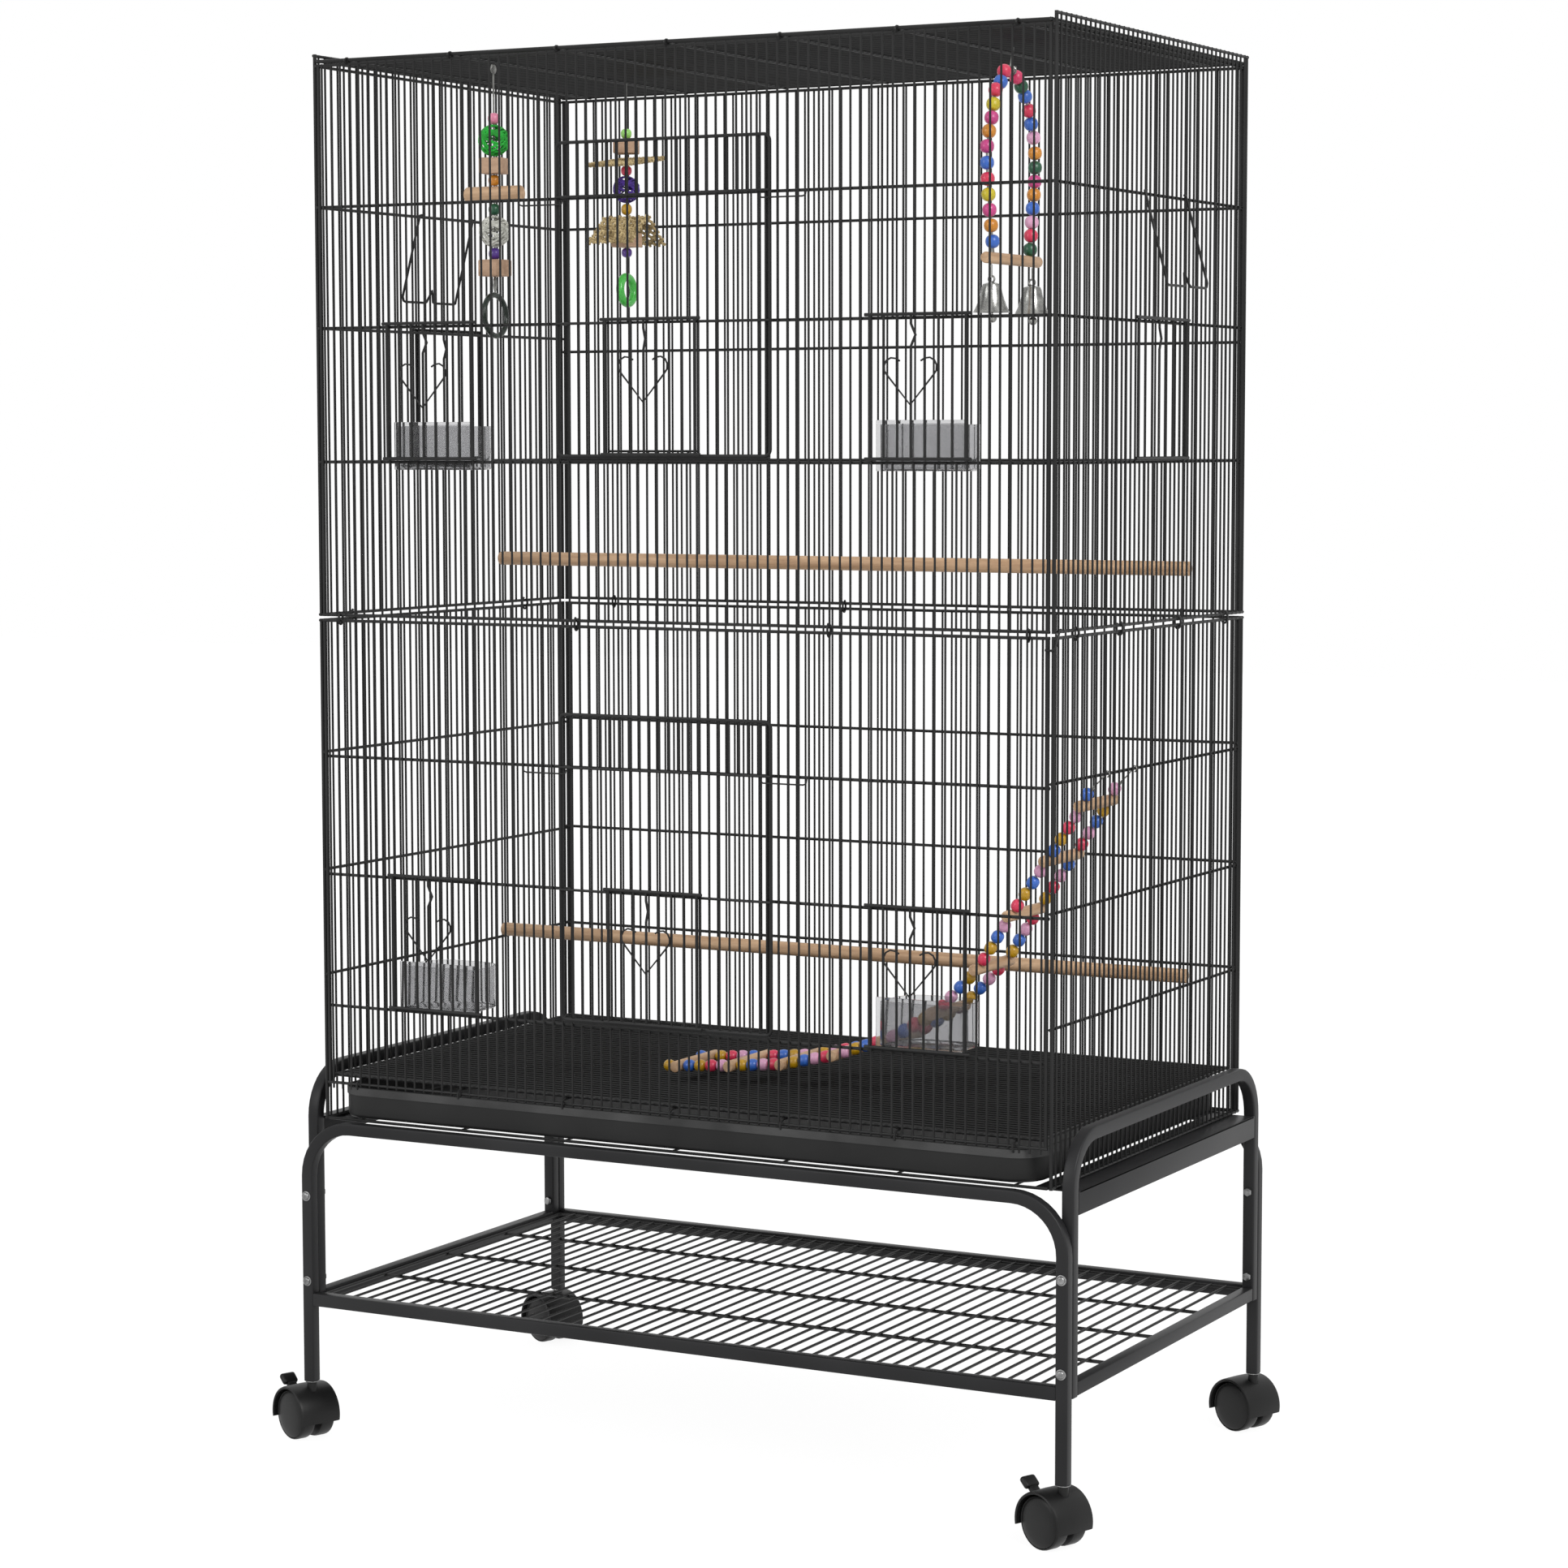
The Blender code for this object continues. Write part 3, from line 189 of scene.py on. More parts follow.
# %% [markdown]
# The feeder cups are thin moulded styrene with a smoke tint. Where one wall is in front of the
# white room it looks light grey, and where two or three are behind each other it darkens. The
# shader lets most light through, so the walls themselves do the darkening.

# %% Smoke styrene
def smoke_styrene(name):
    made, tree, shader, mapped = begin_finish(name)
    slow = grain(tree, mapped, 30, 2.0)
    colour = tint(tree, (slow, "Fac"), ("#d2d2d3", "#d6d6d7"))
    tree.links.new(colour.outputs["Color"], shader.inputs["Base Color"])
    ripple = grain(tree, mapped, 12, 1.0)
    relief(tree, shader, (ripple, "Fac"), 0.02, 0.05)
    shader.inputs["Roughness"].default_value = 0.04
    shader.inputs["IOR"].default_value = 1.06
    shader.inputs["Transmission Weight"].default_value = 0.96
    return made


cup_plastic = smoke_styrene("smoke_styrene_cup")
print("made", cup_plastic.name)

# %% [markdown]
# Perches, rungs and dowels are turned beech: pale, with short brown flecks and fine grain along
# their length. The toy blocks are sawn pine with wider bands. Both are the same idea, a noise
# stretched along the grain, so one function takes the direction and the two colours.

# %% Turned beech and sawn pine
def bare_wood(name, colours, along, width_mm, roughness):
    stretch = [1.0, 1.0, 1.0]
    stretch["XYZ".index(along)] = 0.06
    made, tree, shader, mapped = begin_finish(name, stretch)
    bands = grain(tree, mapped, width_mm, 4.0, 0.55)
    pores = grain(tree, mapped, width_mm / 4, 2.0)
    colour = tint(tree, (bands, "Fac"), colours, (0.32, 0.68))
    tree.links.new(colour.outputs["Color"], shader.inputs["Base Color"])
    sheen_range(tree, shader, (bands, "Fac"), roughness - 0.08, roughness + 0.08)
    relief(tree, shader, (pores, "Fac"), 0.08, 0.45)
    shader.inputs["IOR"].default_value = 1.45
    return made


beech_x = bare_wood("turned_beech_along_x", ("#9c7c5e", "#be9e7e"), "X", 3.0, 0.55)
beech_y = bare_wood("turned_beech_along_y", ("#9c7c5e", "#be9e7e"), "Y", 3.0, 0.55)
sawn_pine = bare_wood("sawn_pine_block", ("#987a62", "#b8987e"), "X", 4.0, 0.62)
print("made", beech_x.name, beech_y.name, sawn_pine.name)

# %% [markdown]
# The beads are wood turned round and tumbled in food-safe paint. The paint is thin enough for
# faint grain to show, with a low gloss. Every colour is its own material made by one function,
# because a real maker dips each batch in one pot.

# %% Tumbled bead paint
def bead_paint(name, colour_hex, shade_hex, roughness=0.34):
    made, tree, shader, mapped = begin_finish(name, (1, 1, 0.3))
    slow = grain(tree, mapped, 6, 3.0)
    fine = grain(tree, mapped, 1.5, 2.0)
    colour = tint(tree, (slow, "Fac"), (shade_hex, colour_hex), (0.2, 0.6))
    tree.links.new(colour.outputs["Color"], shader.inputs["Base Color"])
    sheen_range(tree, shader, (slow, "Fac"), roughness - 0.06, roughness + 0.1)
    relief(tree, shader, (fine, "Fac"), 0.06, 0.3)
    shader.inputs["IOR"].default_value = 1.48
    shader.inputs["Coat Weight"].default_value = 0.25
    shader.inputs["Coat Roughness"].default_value = 0.2
    return made


BEAD_COLOURS = {
    "red": ("#c83050", "#b02440"),
    "rose": ("#c83460", "#b02850"),
    "magenta": ("#b83878", "#a02c68"),
    "pink": ("#cc7a94", "#b86a84"),
    "light_pink": ("#c893b0", "#b884a2"),
    "orange": ("#c07c1c", "#a86810"),
    "yellow": ("#b0860a", "#987204"),
    "lemon": ("#b8a818", "#a49410"),
    "green": ("#0c4c30", "#083c26"),
    "light_green": ("#90cc64", "#7cb854"),
    "blue": ("#3060b4", "#2450a0"),
    "purple": ("#4e2c86", "#3e2070"),
}
bead = {name: bead_paint(f"{name}_bead_paint", *pair) for name, pair in BEAD_COLOURS.items()}
print("made", len(bead), "bead paints")

# %% [markdown]
# The woven balls are split vine dipped in dye, so they are dull with streaks along each strand.
# Seagrass is twisted dry grass: straw coloured, with green and brown stalks side by side. Noise
# at the size of a stalk gives both, with a deeper bump than paint has.

# %% Dyed vine and dried seagrass
def dry_fibre(name, colours, stalk_mm, depth_mm, roughness=0.75):
    made, tree, shader, mapped = begin_finish(name)
    stalks = grain(tree, mapped, stalk_mm, 4.0, 0.6)
    slow = grain(tree, mapped, stalk_mm * 6, 2.0)
    mixed = add_node(tree, "ShaderNodeMath", {0: (stalks, "Fac"), 1: (slow, "Fac")}, operation="MULTIPLY")
    colour = tint(tree, (mixed, 0), colours, (0.14, 0.36))
    tree.links.new(colour.outputs["Color"], shader.inputs["Base Color"])
    relief(tree, shader, (stalks, "Fac"), depth_mm, 0.7)
    shader.inputs["Roughness"].default_value = roughness
    shader.inputs["IOR"].default_value = 1.4
    return made


green_vine = dry_fibre("green_dyed_vine", ("#117a20", "#22b038"), 0.8, 0.25, 0.6)
purple_vine = dry_fibre("purple_dyed_vine", ("#2a1658", "#4a2c8c"), 0.8, 0.25, 0.6)
silver_vine = dry_fibre("silver_painted_vine", ("#96968e", "#d0d0c8"), 0.8, 0.25, 0.45)
seagrass = dry_fibre("dried_seagrass", ("#786440", "#c4b084"), 1.0, 0.4, 0.8)
print("made", green_vine.name, purple_vine.name, silver_vine.name, seagrass.name)

# %% [markdown]
# The rings are cast acrylic in bottle green, smooth and glossy. Bells are nickel-plated steel,
# and bolts are bright zinc. The metals keep the shader's own refraction value, and only a fine
# noise in the roughness tells plating from polish.

# %% Acrylic, nickel and zinc
def cast_acrylic(name, colours):
    made, tree, shader, mapped = begin_finish(name)
    swirl = grain(tree, mapped, 8, 3.0)
    colour = tint(tree, (swirl, "Fac"), colours)
    tree.links.new(colour.outputs["Color"], shader.inputs["Base Color"])
    sheen_range(tree, shader, (swirl, "Fac"), 0.14, 0.24)
    shader.inputs["IOR"].default_value = 1.49
    return made


def plated_metal(name, colours, low, high, size_mm):
    made, tree, shader, mapped = begin_finish(name)
    cloud = grain(tree, mapped, size_mm, 3.0)
    colour = tint(tree, (cloud, "Fac"), colours)
    tree.links.new(colour.outputs["Color"], shader.inputs["Base Color"])
    sheen_range(tree, shader, (cloud, "Fac"), low, high)
    relief(tree, shader, (cloud, "Fac"), 0.03, 0.25)
    shader.inputs["Metallic"].default_value = 1.0
    return made


green_acrylic = cast_acrylic("bright_green_acrylic", ("#3a9a3c", "#4cb24c"))
dark_acrylic = cast_acrylic("bottle_green_acrylic", ("#0c1610", "#16241a"))
nickel = plated_metal("nickel_plated_bell", ("#7c7c7a", "#b0b0ac"), 0.12, 0.30, 5)
zinc = plated_metal("zinc_plated_steel", ("#6c6c6c", "#a0a0a0"), 0.25, 0.45, 3)
bright_wire = plated_metal("galvanised_wire", ("#6c6c6a", "#a0a09c"), 0.28, 0.42, 4)
print("made", green_acrylic.name, nickel.name, zinc.name)

# %% [markdown]
# Almost everything here is wire, tube or bead, so three makers do most of the work. The first
# lays round wires: each path becomes a poly curve, the curve's bevel gives it thickness, and its
# mesh joins the bundle that is being built. The curve's faces are round with eight sides, which
# is enough at two millimetres thick.

# %% Wire maker
def lay_wires(bundle, paths, radius, look=0, closed=False, sides=8, profile=None):
    """Adds wires through the given points. A profile, in metres, replaces the round section."""
    curve = bpy.data.curves.new("wire_guide", "CURVE")
    curve.dimensions = "3D"
    curve.use_fill_caps = True
    curve.bevel_depth = radius
    curve.bevel_resolution = sides // 2 - 2
    helper = None
    if profile:
        section = bpy.data.curves.new("section_guide", "CURVE")
        outline = section.splines.new("POLY")
        outline.points.add(len(profile) - 1)
        for point, (x, y) in zip(outline.points, profile):
            point.co = (x, y, 0, 1)
        outline.use_cyclic_u = True
        helper = bpy.data.objects.new("section_guide", section)
        bpy.context.scene.collection.objects.link(helper)
        curve.bevel_mode = "OBJECT"
        curve.bevel_object = helper
    for path in paths:
        spline = curve.splines.new("POLY")
        spline.points.add(len(path) - 1)
        for point, place in zip(spline.points, path):
            point.co = (*place, 1)
        spline.use_cyclic_u = closed
    guide = bpy.data.objects.new("wire_guide", curve)
    bpy.context.scene.collection.objects.link(guide)
    bpy.context.view_layer.update()
    mesh = bpy.data.meshes.new_from_object(guide.evaluated_get(bpy.context.evaluated_depsgraph_get()))
    for face in mesh.polygons:
        face.material_index, face.use_smooth = look, True
    bundle.from_mesh(mesh)
    bpy.data.objects.remove(guide)
    if helper:
        bpy.data.objects.remove(helper)
    bpy.data.meshes.remove(mesh)


def finish_piece(bundle, name, body, looks, replaces=(), sharp=38):
    """Turns a bundle into a named piece in its place, riding on a body of the frame."""
    bmesh.ops.translate(bundle, verts=bundle.verts, vec=CAGE_CENTRE)
    mesh = bpy.data.meshes.new(name)
    bundle.to_mesh(mesh)
    bundle.free()
    for look in looks:
        mesh.materials.append(look)
    mesh.set_sharp_from_angle(angle=math.radians(sharp))
    piece = bpy.data.objects.new(name, mesh)
    bpy.context.scene.collection.objects.link(piece)
    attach(piece, body)
    if replaces:
        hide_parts(*replaces)
    print(name, len(mesh.polygons), "faces on", body)
    return piece


ROOT = "cage"

# %% [markdown]
# The second maker adds solid shapes that start as a cube or a cylinder and have their edges
# rounded by a bevel: slabs, wood blocks, dowels, beads and bolts. The third turns a profile
# about an axis with spin, for bells, wheels and domes.

# %% Solid makers
def dress(bundle, verts, look, smooth=True):
    for face in {face for vert in verts for face in vert.link_faces}:
        face.material_index = look
        face.smooth = smooth


def round_edges(bundle, verts, width, segments, least_angle=30, keep=None):
    """Bevels the sharp edges of a shape that was just made, and returns all its vertices."""
    edges = {edge for vert in verts for edge in vert.link_edges}
    faces = {face for vert in verts for face in vert.link_faces}
    sharp = [edge for edge in edges if edge.calc_face_angle(0) > math.radians(least_angle)]
    if keep:
        sharp = [edge for edge in sharp if keep(edge)]
    made = bmesh.ops.bevel(
        bundle, geom=sharp, offset=width, segments=segments, profile=0.5, affect="EDGES", material=-1
    )
    faces = {face for face in faces if face.is_valid} | set(made["faces"])
    return list({vert for face in faces for vert in face.verts})


def slab(bundle, low, high, rounding=0.0005, look=0, segments=2, keep=None):
    """A box between two corners, with rounded edges."""
    low, high = Vector(low), Vector(high)
    size = Matrix.Diagonal((*(high - low), 1))
    made = bmesh.ops.create_cube(bundle, size=1, matrix=Matrix.Translation((low + high) / 2) @ size)
    verts = round_edges(bundle, made["verts"], rounding, segments, keep=keep)
    dress(bundle, verts, look)
    return verts


def facing(direction):
    """The turn that takes Z to a direction."""
    return Vector((0, 0, 1)).rotation_difference(Vector(direction).normalized()).to_matrix().to_4x4()


def pin(bundle, start, end, radius, look=0, rounding=0.0008, sides=20, segments=2):
    """A round dowel, bolt or bead between two points, with rounded rims."""
    start, end = Vector(start), Vector(end)
    place = Matrix.Translation((start + end) / 2) @ facing(end - start)
    made = bmesh.ops.create_cone(
        bundle, cap_ends=True, segments=sides, radius1=radius, radius2=radius,
        depth=(end - start).length, matrix=place,
    )
    verts = round_edges(bundle, made["verts"], rounding, segments, least_angle=60)
    dress(bundle, verts, look)
    return verts


def bead_at(bundle, centre, along, length, radius, look=0):
    """A bead is a short dowel whose rims are rounded until only a little flat is left."""
    reach = Vector(along).normalized() * (length / 2)
    centre = Vector(centre)
    pin(bundle, centre - reach, centre + reach, radius, look, min(radius, length / 2) * 0.88, 18, 5)


def turn_profile(bundle, profile, place, look=0, steps=24, angle=360, closed=False):
    """Spins (radius, height) points about the Z axis of a placing matrix."""
    verts = [bundle.verts.new((radius, 0, height)) for radius, height in profile]
    ends = list(zip(verts, verts[1:])) + ([(verts[-1], verts[0])] if closed else [])
    geometry = verts + [bundle.edges.new(pair) for pair in ends]
    full = angle == 360
    if not full and closed:
        geometry = [bundle.faces.new(verts)]
        geometry += list(geometry[0].edges) + verts
    before = set(bundle.verts) - set(verts)
    bmesh.ops.spin(
        bundle, geom=geometry, cent=(0, 0, 0), axis=(0, 0, 1), angle=math.radians(angle),
        steps=steps, use_merge=full,
    )
    made = [vert for vert in bundle.verts if vert not in before]
    bmesh.ops.remove_doubles(bundle, verts=made, dist=1e-6)
    made = [vert for vert in bundle.verts if vert not in before]
    faces = list({face for vert in made for face in vert.link_faces})
    bmesh.ops.recalc_face_normals(bundle, faces=faces)
    bmesh.ops.transform(bundle, matrix=place, verts=made)
    dress(bundle, made, look)
    return made


print("makers ready")

# %% [markdown]
# The walls are panels of 2.2 mm wire welded at a pitch of 10.68 mm over a few long wires of
# 3 mm. The solid model holds only every second wire to stay light, so each panel is laid again
# here with all of them, round instead of square. Uprights run on the outside and the long wires
# cross behind them. A door opening cuts the uprights, and short wires trim it.

# %% Measures of the cage
WIDTH, DEPTH = 0.792, 0.4596
PITCH, WIRE, ROW_WIRE = 0.01068, 0.0011, 0.0015
BASE_Z, SILL_Z, TIER_Z, TOP_Z, SIDE_TOP_Z = 0.3255, 0.3615, 0.8247, 1.3615, 1.3715
FEEDER = (20 * PITCH, 29 * PITCH)
DOORWAY = 10 * PITCH
SIDE_DOORWAY = (-0.0480, 0.0690)
UPRIGHT_DEPTH, ROW_DEPTH, POST_DEPTH = 0.0010, 0.0033, 0.0021
ROWS = {
    "upper_front": (0.977, 1.107, 1.224), "upper_back": (0.977, 1.093, 1.224),
    "upper_side": (0.977, 1.107, 1.224, 1.3600), "lower_front": (0.440, 0.571, 0.688),
    "lower_back": (0.472, 0.578, 0.697), "lower_side": (0.471, 0.5755, 0.692),
}


def on_wall(side, u, depth, v):
    """A point of a wall: u along it, depth in from its outer face, v up."""
    return {
        "front": (u, -DEPTH / 2 + depth, v), "back": (u, DEPTH / 2 - depth, v),
        "left": (-WIDTH / 2 + depth, u, v), "right": (WIDTH / 2 - depth, u, v),
    }[side]


def gaps(low, high, cuts):
    """The parts of a span that are left between cuts."""
    bounds = [low] + sorted(value for cut in cuts for value in cut) + [high]
    return [pair for pair in zip(bounds[::2], bounds[1::2]) if pair[1] - pair[0] > 0.002]


# %% Wall panels
def wall_panel(name, side, span, rows, openings=(), tips=0.0):
    """One wall of a tier, all its wires laid at the real pitch."""
    across = side in ("front", "back")
    half = WIDTH / 2 - 0.005 if across else DEPTH / 2 - 0.0013
    shift = 0 if across else 0.5
    count = int((half - 0.006) / PITCH + shift)
    places = [(step + shift) * PITCH for step in range(-count, count + 1 - int(2 * shift))]
    uprights, crossing = [], []
    for place in places:
        cuts = [opening[2:] for opening in openings if opening[0] - 0.002 < place < opening[1] + 0.002]
        near_edge = any(abs(place - edge) < 0.004 for opening in openings for edge in opening[:2])
        if near_edge:
            continue
        uprights += [[(place, low), (place, high)] for low, high in gaps(span[0] - tips, span[1], cuts)]
    for left, right, low, high in openings:
        uprights += [[(edge, span[0] - tips), (edge, span[1])] for edge in (left, right)]
    for height in rows:
        cuts = [opening[:2] for opening in openings if opening[2] + 0.002 < height < opening[3] - 0.002]
        crossing += [[(low, height), (high, height)] for low, high in gaps(-half, half, cuts)]
    bundle = bmesh.new()
    lay_wires(bundle, [[on_wall(side, u, UPRIGHT_DEPTH, v) for u, v in path] for path in uprights], WIRE)
    lay_wires(bundle, [[on_wall(side, u, ROW_DEPTH, v) for u, v in path] for path in crossing], ROW_WIRE)
    low, high, edge = span[0] + 0.0015, span[1] - 0.0015, half - 0.0019
    frame_paths = [[(-half, low), (half, low)], [(-half, high), (half, high)]]
    lay_wires(bundle, [[on_wall(side, u, 0.0015, v) for u, v in path] for path in frame_paths], 0.0015)
    posts = [[(place, span[0]), (place, span[1])] for place in (-edge, edge)]
    lay_wires(bundle, [[on_wall(side, u, POST_DEPTH, v) for u, v in path] for path in posts], 0.0019)
    return finish_piece(bundle, f"{name}_wires", ROOT, [coated_wire], [name])


def front_openings(rows):
    sill, middle, head = rows
    near, far = FEEDER
    return [(-far, -near, sill, middle), (-DOORWAY, DOORWAY, sill, head), (near, far, sill, middle)]


upper, lower = (TIER_Z + 0.0013, TOP_Z), (BASE_Z, TIER_Z - 0.0013)
wall_panel("upper_front_panel", "front", upper, ROWS["upper_front"], front_openings(ROWS["upper_front"]))
wall_panel("upper_back_panel", "back", upper, ROWS["upper_back"])
lower_front = (SILL_Z, lower[1])
wall_panel(
    "lower_front_panel", "front", lower_front, ROWS["lower_front"],
    front_openings(ROWS["lower_front"]), 0.004,
)
wall_panel("lower_back_panel", "back", lower, ROWS["lower_back"])
side_door = [(*SIDE_DOORWAY, *ROWS["upper_side"][:2])]
for side in ("left", "right"):
    wall_panel(f"upper_{side}_panel", side, (upper[0], SIDE_TOP_Z), ROWS["upper_side"], side_door)
    wall_panel(f"lower_{side}_panel", side, lower, ROWS["lower_side"])

# %% [markdown]
# The roof and the floor grate are the same mesh lying flat: thin wires from side to side, with
# seven crossing below them. At the front each crossing wire of the roof ends in a small eye over
# the wall's top wire, and each one of the grate in a hook round the sill wire. The base panel is
# an open rectangle that the tray slides over.

# %% Roof, grate and base
CROSS_X = [share * WIDTH for share in (-0.45, -0.3, -0.15, 0.0, 0.15, 0.3, 0.45)]


def flat_grid(name, half_width, half_depth, top, eyes):
    bundle = bmesh.new()
    count = int((half_depth - 0.005) / PITCH + 0.5)
    places = [(step + 0.5) * PITCH for step in range(-count, count)]
    lay_wires(bundle, [[(-half_width, y, top - 0.001), (half_width, y, top - 0.001)] for y in places], WIRE)
    rows = [[(x, -half_depth, top - 0.0033), (x, half_depth, top - 0.0033)] for x in CROSS_X]
    lay_wires(bundle, rows, 0.0011)
    edge = half_depth - 0.0018
    ends = [[(-half_width, y, top - 0.0019), (half_width, y, top - 0.0019)] for y in (-edge, edge)]
    lay_wires(bundle, ends, 0.0018)
    edge = half_width - 0.0015
    sides = [[(x, -half_depth, top - 0.0015), (x, half_depth, top - 0.0015)] for x in (-edge, edge)]
    lay_wires(bundle, sides, 0.0015)
    for x in CROSS_X if eyes == "hook" else ():
        lift = top - 0.0045
        hook = ((-0.212, 0), (-0.2262, 0), (-0.2290, -0.0005), (-0.2322, -0.0022), (-0.2330, -0.0052))
        hook += ((-0.2322, -0.0082), (-0.2296, -0.0098), (-0.2270, -0.0090))
        lay_wires(bundle, [[(x + 0.0022, y, lift + dz) for y, dz in hook]], 0.0011)
    for x in CROSS_X if eyes == "eye" else ():
        eye = [
            (x + 0.0012, -half_depth + 0.002 + 0.0045 * math.cos(turn), top - 0.003 + 0.0028 * math.sin(turn))
            for turn in [math.radians(angle) for angle in range(-60, 290, 35)]
        ]
        lay_wires(bundle, [[(x, -half_depth + 0.012, top - 0.0045), *eye]], WIRE, sides=6)
    return finish_piece(bundle, f"{name}_wires", ROOT, [coated_wire], [name])


flat_grid("roof_panel", WIDTH / 2 - 0.005, DEPTH / 2, TOP_Z + 0.0003 + 0.0043, "eye")
flat_grid("floor_grate", 0.3865, 0.2245, 0.3720, "hook")
base = bmesh.new()
half, back = WIDTH / 2 - 0.0055, DEPTH / 2 - 0.0048
near, far = -DEPTH / 2 + 0.0015, back - 0.0015
rim = [(-half, near), (half, near), (half, far), (-half, far)]
lay_wires(base, [[(x, y, BASE_Z + 0.0015) for x, y in rim]], 0.0015, closed=True)
cross = [[(x, -DEPTH / 2 + 0.001, BASE_Z + 0.001), (x, back, BASE_Z + 0.001)] for x in CROSS_X]
lay_wires(base, cross, WIRE)
finish_piece(base, "base_panel_wires", ROOT, [coated_wire], ["base_panel"])

# %% [markdown]
# Each big front door is a rounded rectangle of wire that hinges on its foot. It carries a small
# hatch that slides up. Every small door has the same build: eight uprights, a long wire at its
# head and foot that reach past its sides as guides, a kink in one upright as a finger grip, and
# a wire heart as decoration.

# %% Big front doors
DOOR_SPAN = (-0.1180, 0.1130)
HATCHWAY = (-0.0613, 0.0347)
DOOR_FACE = -DEPTH / 2 - 0.0005


def rounded_loop(left, right, low, high, corner, steps=5):
    """Points of a rectangle with rounded corners, in order."""
    points = []
    for u, v, start in ((right, high, 0), (left, high, 90), (left, low, 180), (right, low, 270)):
        centre_u = u - corner if u == right else u + corner
        centre_v = v - corner if v == high else v + corner
        for step in range(steps + 1):
            angle = math.radians(start + 90 * step / steps)
            points.append((centre_u + corner * math.cos(angle), centre_v + corner * math.sin(angle)))
    return points


def big_door(tier, rows):
    sill, middle, _ = rows
    low, high = sill + 0.0045, sill + 0.300
    opening = (HATCHWAY[0], HATCHWAY[1], low + 0.006, middle)
    bundle = bmesh.new()
    near, far = DOOR_FACE - 0.0010, DOOR_FACE - 0.0033
    rim = rounded_loop(DOOR_SPAN[0] + 0.0015, DOOR_SPAN[1] - 0.0015, low + 0.0015, high - 0.0015, 0.006)
    lay_wires(bundle, [[(u, DOOR_FACE - 0.0019, v) for u, v in rim]], 0.0016, closed=True)
    lay_wires(bundle, [[(DOOR_SPAN[0] + 0.003, near, low), (DOOR_SPAN[1] - 0.003, near, low)]], 0.0014)
    uprights = []
    for step in range(-5, 16):
        u = HATCHWAY[0] + step * PITCH
        cut = [opening[2:]] if opening[0] + 0.003 < u < opening[1] - 0.003 else []
        uprights += [[(u, near, v0), (u, near, v1)] for v0, v1 in gaps(low + 0.001, high - 0.001, cut)]
    uprights.append([(DOOR_SPAN[1] - 0.0065, near, low + 0.001), (DOOR_SPAN[1] - 0.0065, near, high - 0.001)])
    lay_wires(bundle, uprights, WIRE)
    ends = DOOR_SPAN[0] + 0.001, DOOR_SPAN[1] - 0.001
    lay_wires(bundle, [[(u, far, v) for u in ends] for v in (middle, high - 0.052)], 0.0013)
    lay_wires(bundle, [[(opening[0], near, opening[2]), (opening[1], near, opening[2])]], WIRE)
    door = f"{tier}_swing_door"
    finish_piece(bundle, f"{door}_wires", f"{tier}_door", [coated_wire], [door])


for tier in ("upper", "lower"):
    big_door(tier, ROWS[f"{tier}_front"])

# %% Small doors with hearts
HEART = (
    (-10.5, 39.3), (-14.5, 41.6), (-19.5, 42.2), (-24.0, 39.8), (-26.2, 35.5), (-26.0, 30.5), (-23.0, 26.5),
    (0, 0),
)


def heart_wire():
    """Half a heart in millimetres, mirrored into a whole one that stays open at its top."""
    left = list(HEART)
    return [(u / 1000, v / 1000) for u, v in left + [(-u, v) for u, v in left[-2::-1]]]


def small_door(name, body, place, span, foot, head, grip, heart):
    """A sliding door. place(u, depth, v) puts a point on the face that it slides along."""
    left, right = span
    bundle = bmesh.new()
    step = (right - left) / 7
    uprights = []
    for number in range(8):
        u = left + number * step
        path = [(u, foot + 0.001), (u, head - 0.001)]
        if number == 3:
            path[1:1] = [(u, head - 0.030), (u + grip, head - 0.020), (u, head - 0.010)]
        uprights.append([place(across, 0.0013, up) for across, up in path])
    lay_wires(bundle, uprights, 0.0013)
    edges = [[(edge, foot + 0.001), (edge, head - 0.001)] for edge in (left, right)]
    lay_wires(bundle, [[place(u, 0.0016, v) for u, v in path] for path in edges], 0.0016)
    guides = []
    for height in (foot + 0.0014, head - 0.0014):
        guides.append([place(left - 0.0052, 0.0016, height), place(right + 0.0052, 0.0016, height)])
    lay_wires(bundle, guides, 0.0016)
    if heart:
        middle, tip = left + 3 * step, foot + 0.050
        lay_wires(bundle, [[place(middle + u, 0.0027, tip + v) for u, v in heart_wire()]], 0.0009, sides=6)
    finish_piece(bundle, f"{name}_wires", body, [coated_wire], [name])


def on_front(face):
    return lambda u, depth, v: (u, face - depth, v)


for tier in ("upper", "lower"):
    sill, middle, _ = ROWS[f"{tier}_front"]
    near, far = FEEDER
    hatch_face = on_front(-DEPTH / 2 - 0.0053)
    small_door(
        f"{tier}_swing_door_hatch", f"{tier}_hatch", hatch_face, HATCHWAY,
        sill + 0.006, middle + 0.0045, 0.002, True,
    )
    for side, span in (("left", (-far, -near)), ("right", (near, far))):
        small_door(
            f"{tier}_{side}_feeder_door", f"{tier}_{side}_feeder", on_front(DOOR_FACE), span,
            sill + 0.002, middle + 0.0045, 0.0045, True,
        )
low_row, high_row = ROWS["upper_side"][:2]
for side, sign in (("left", -1), ("right", 1)):
    def beside(u, depth, v, sign=sign):
        return (sign * (WIDTH / 2 + 0.0005 + depth), u, v)
    small_door(
        f"{side}_side_door", f"{side}_side_hatch", beside, SIDE_DOORWAY,
        low_row + 0.002, high_row + 0.0045, 0.0045, False,
    )

# %% [markdown]
# Two kinds of bent wire finish the walls. A latch slides sideways across each edge of a big
# door, with its end turned out as a finger tip. A bail hangs on each side wall and holds a
# nest box or a millet spray, with a notch in the middle of its foot.

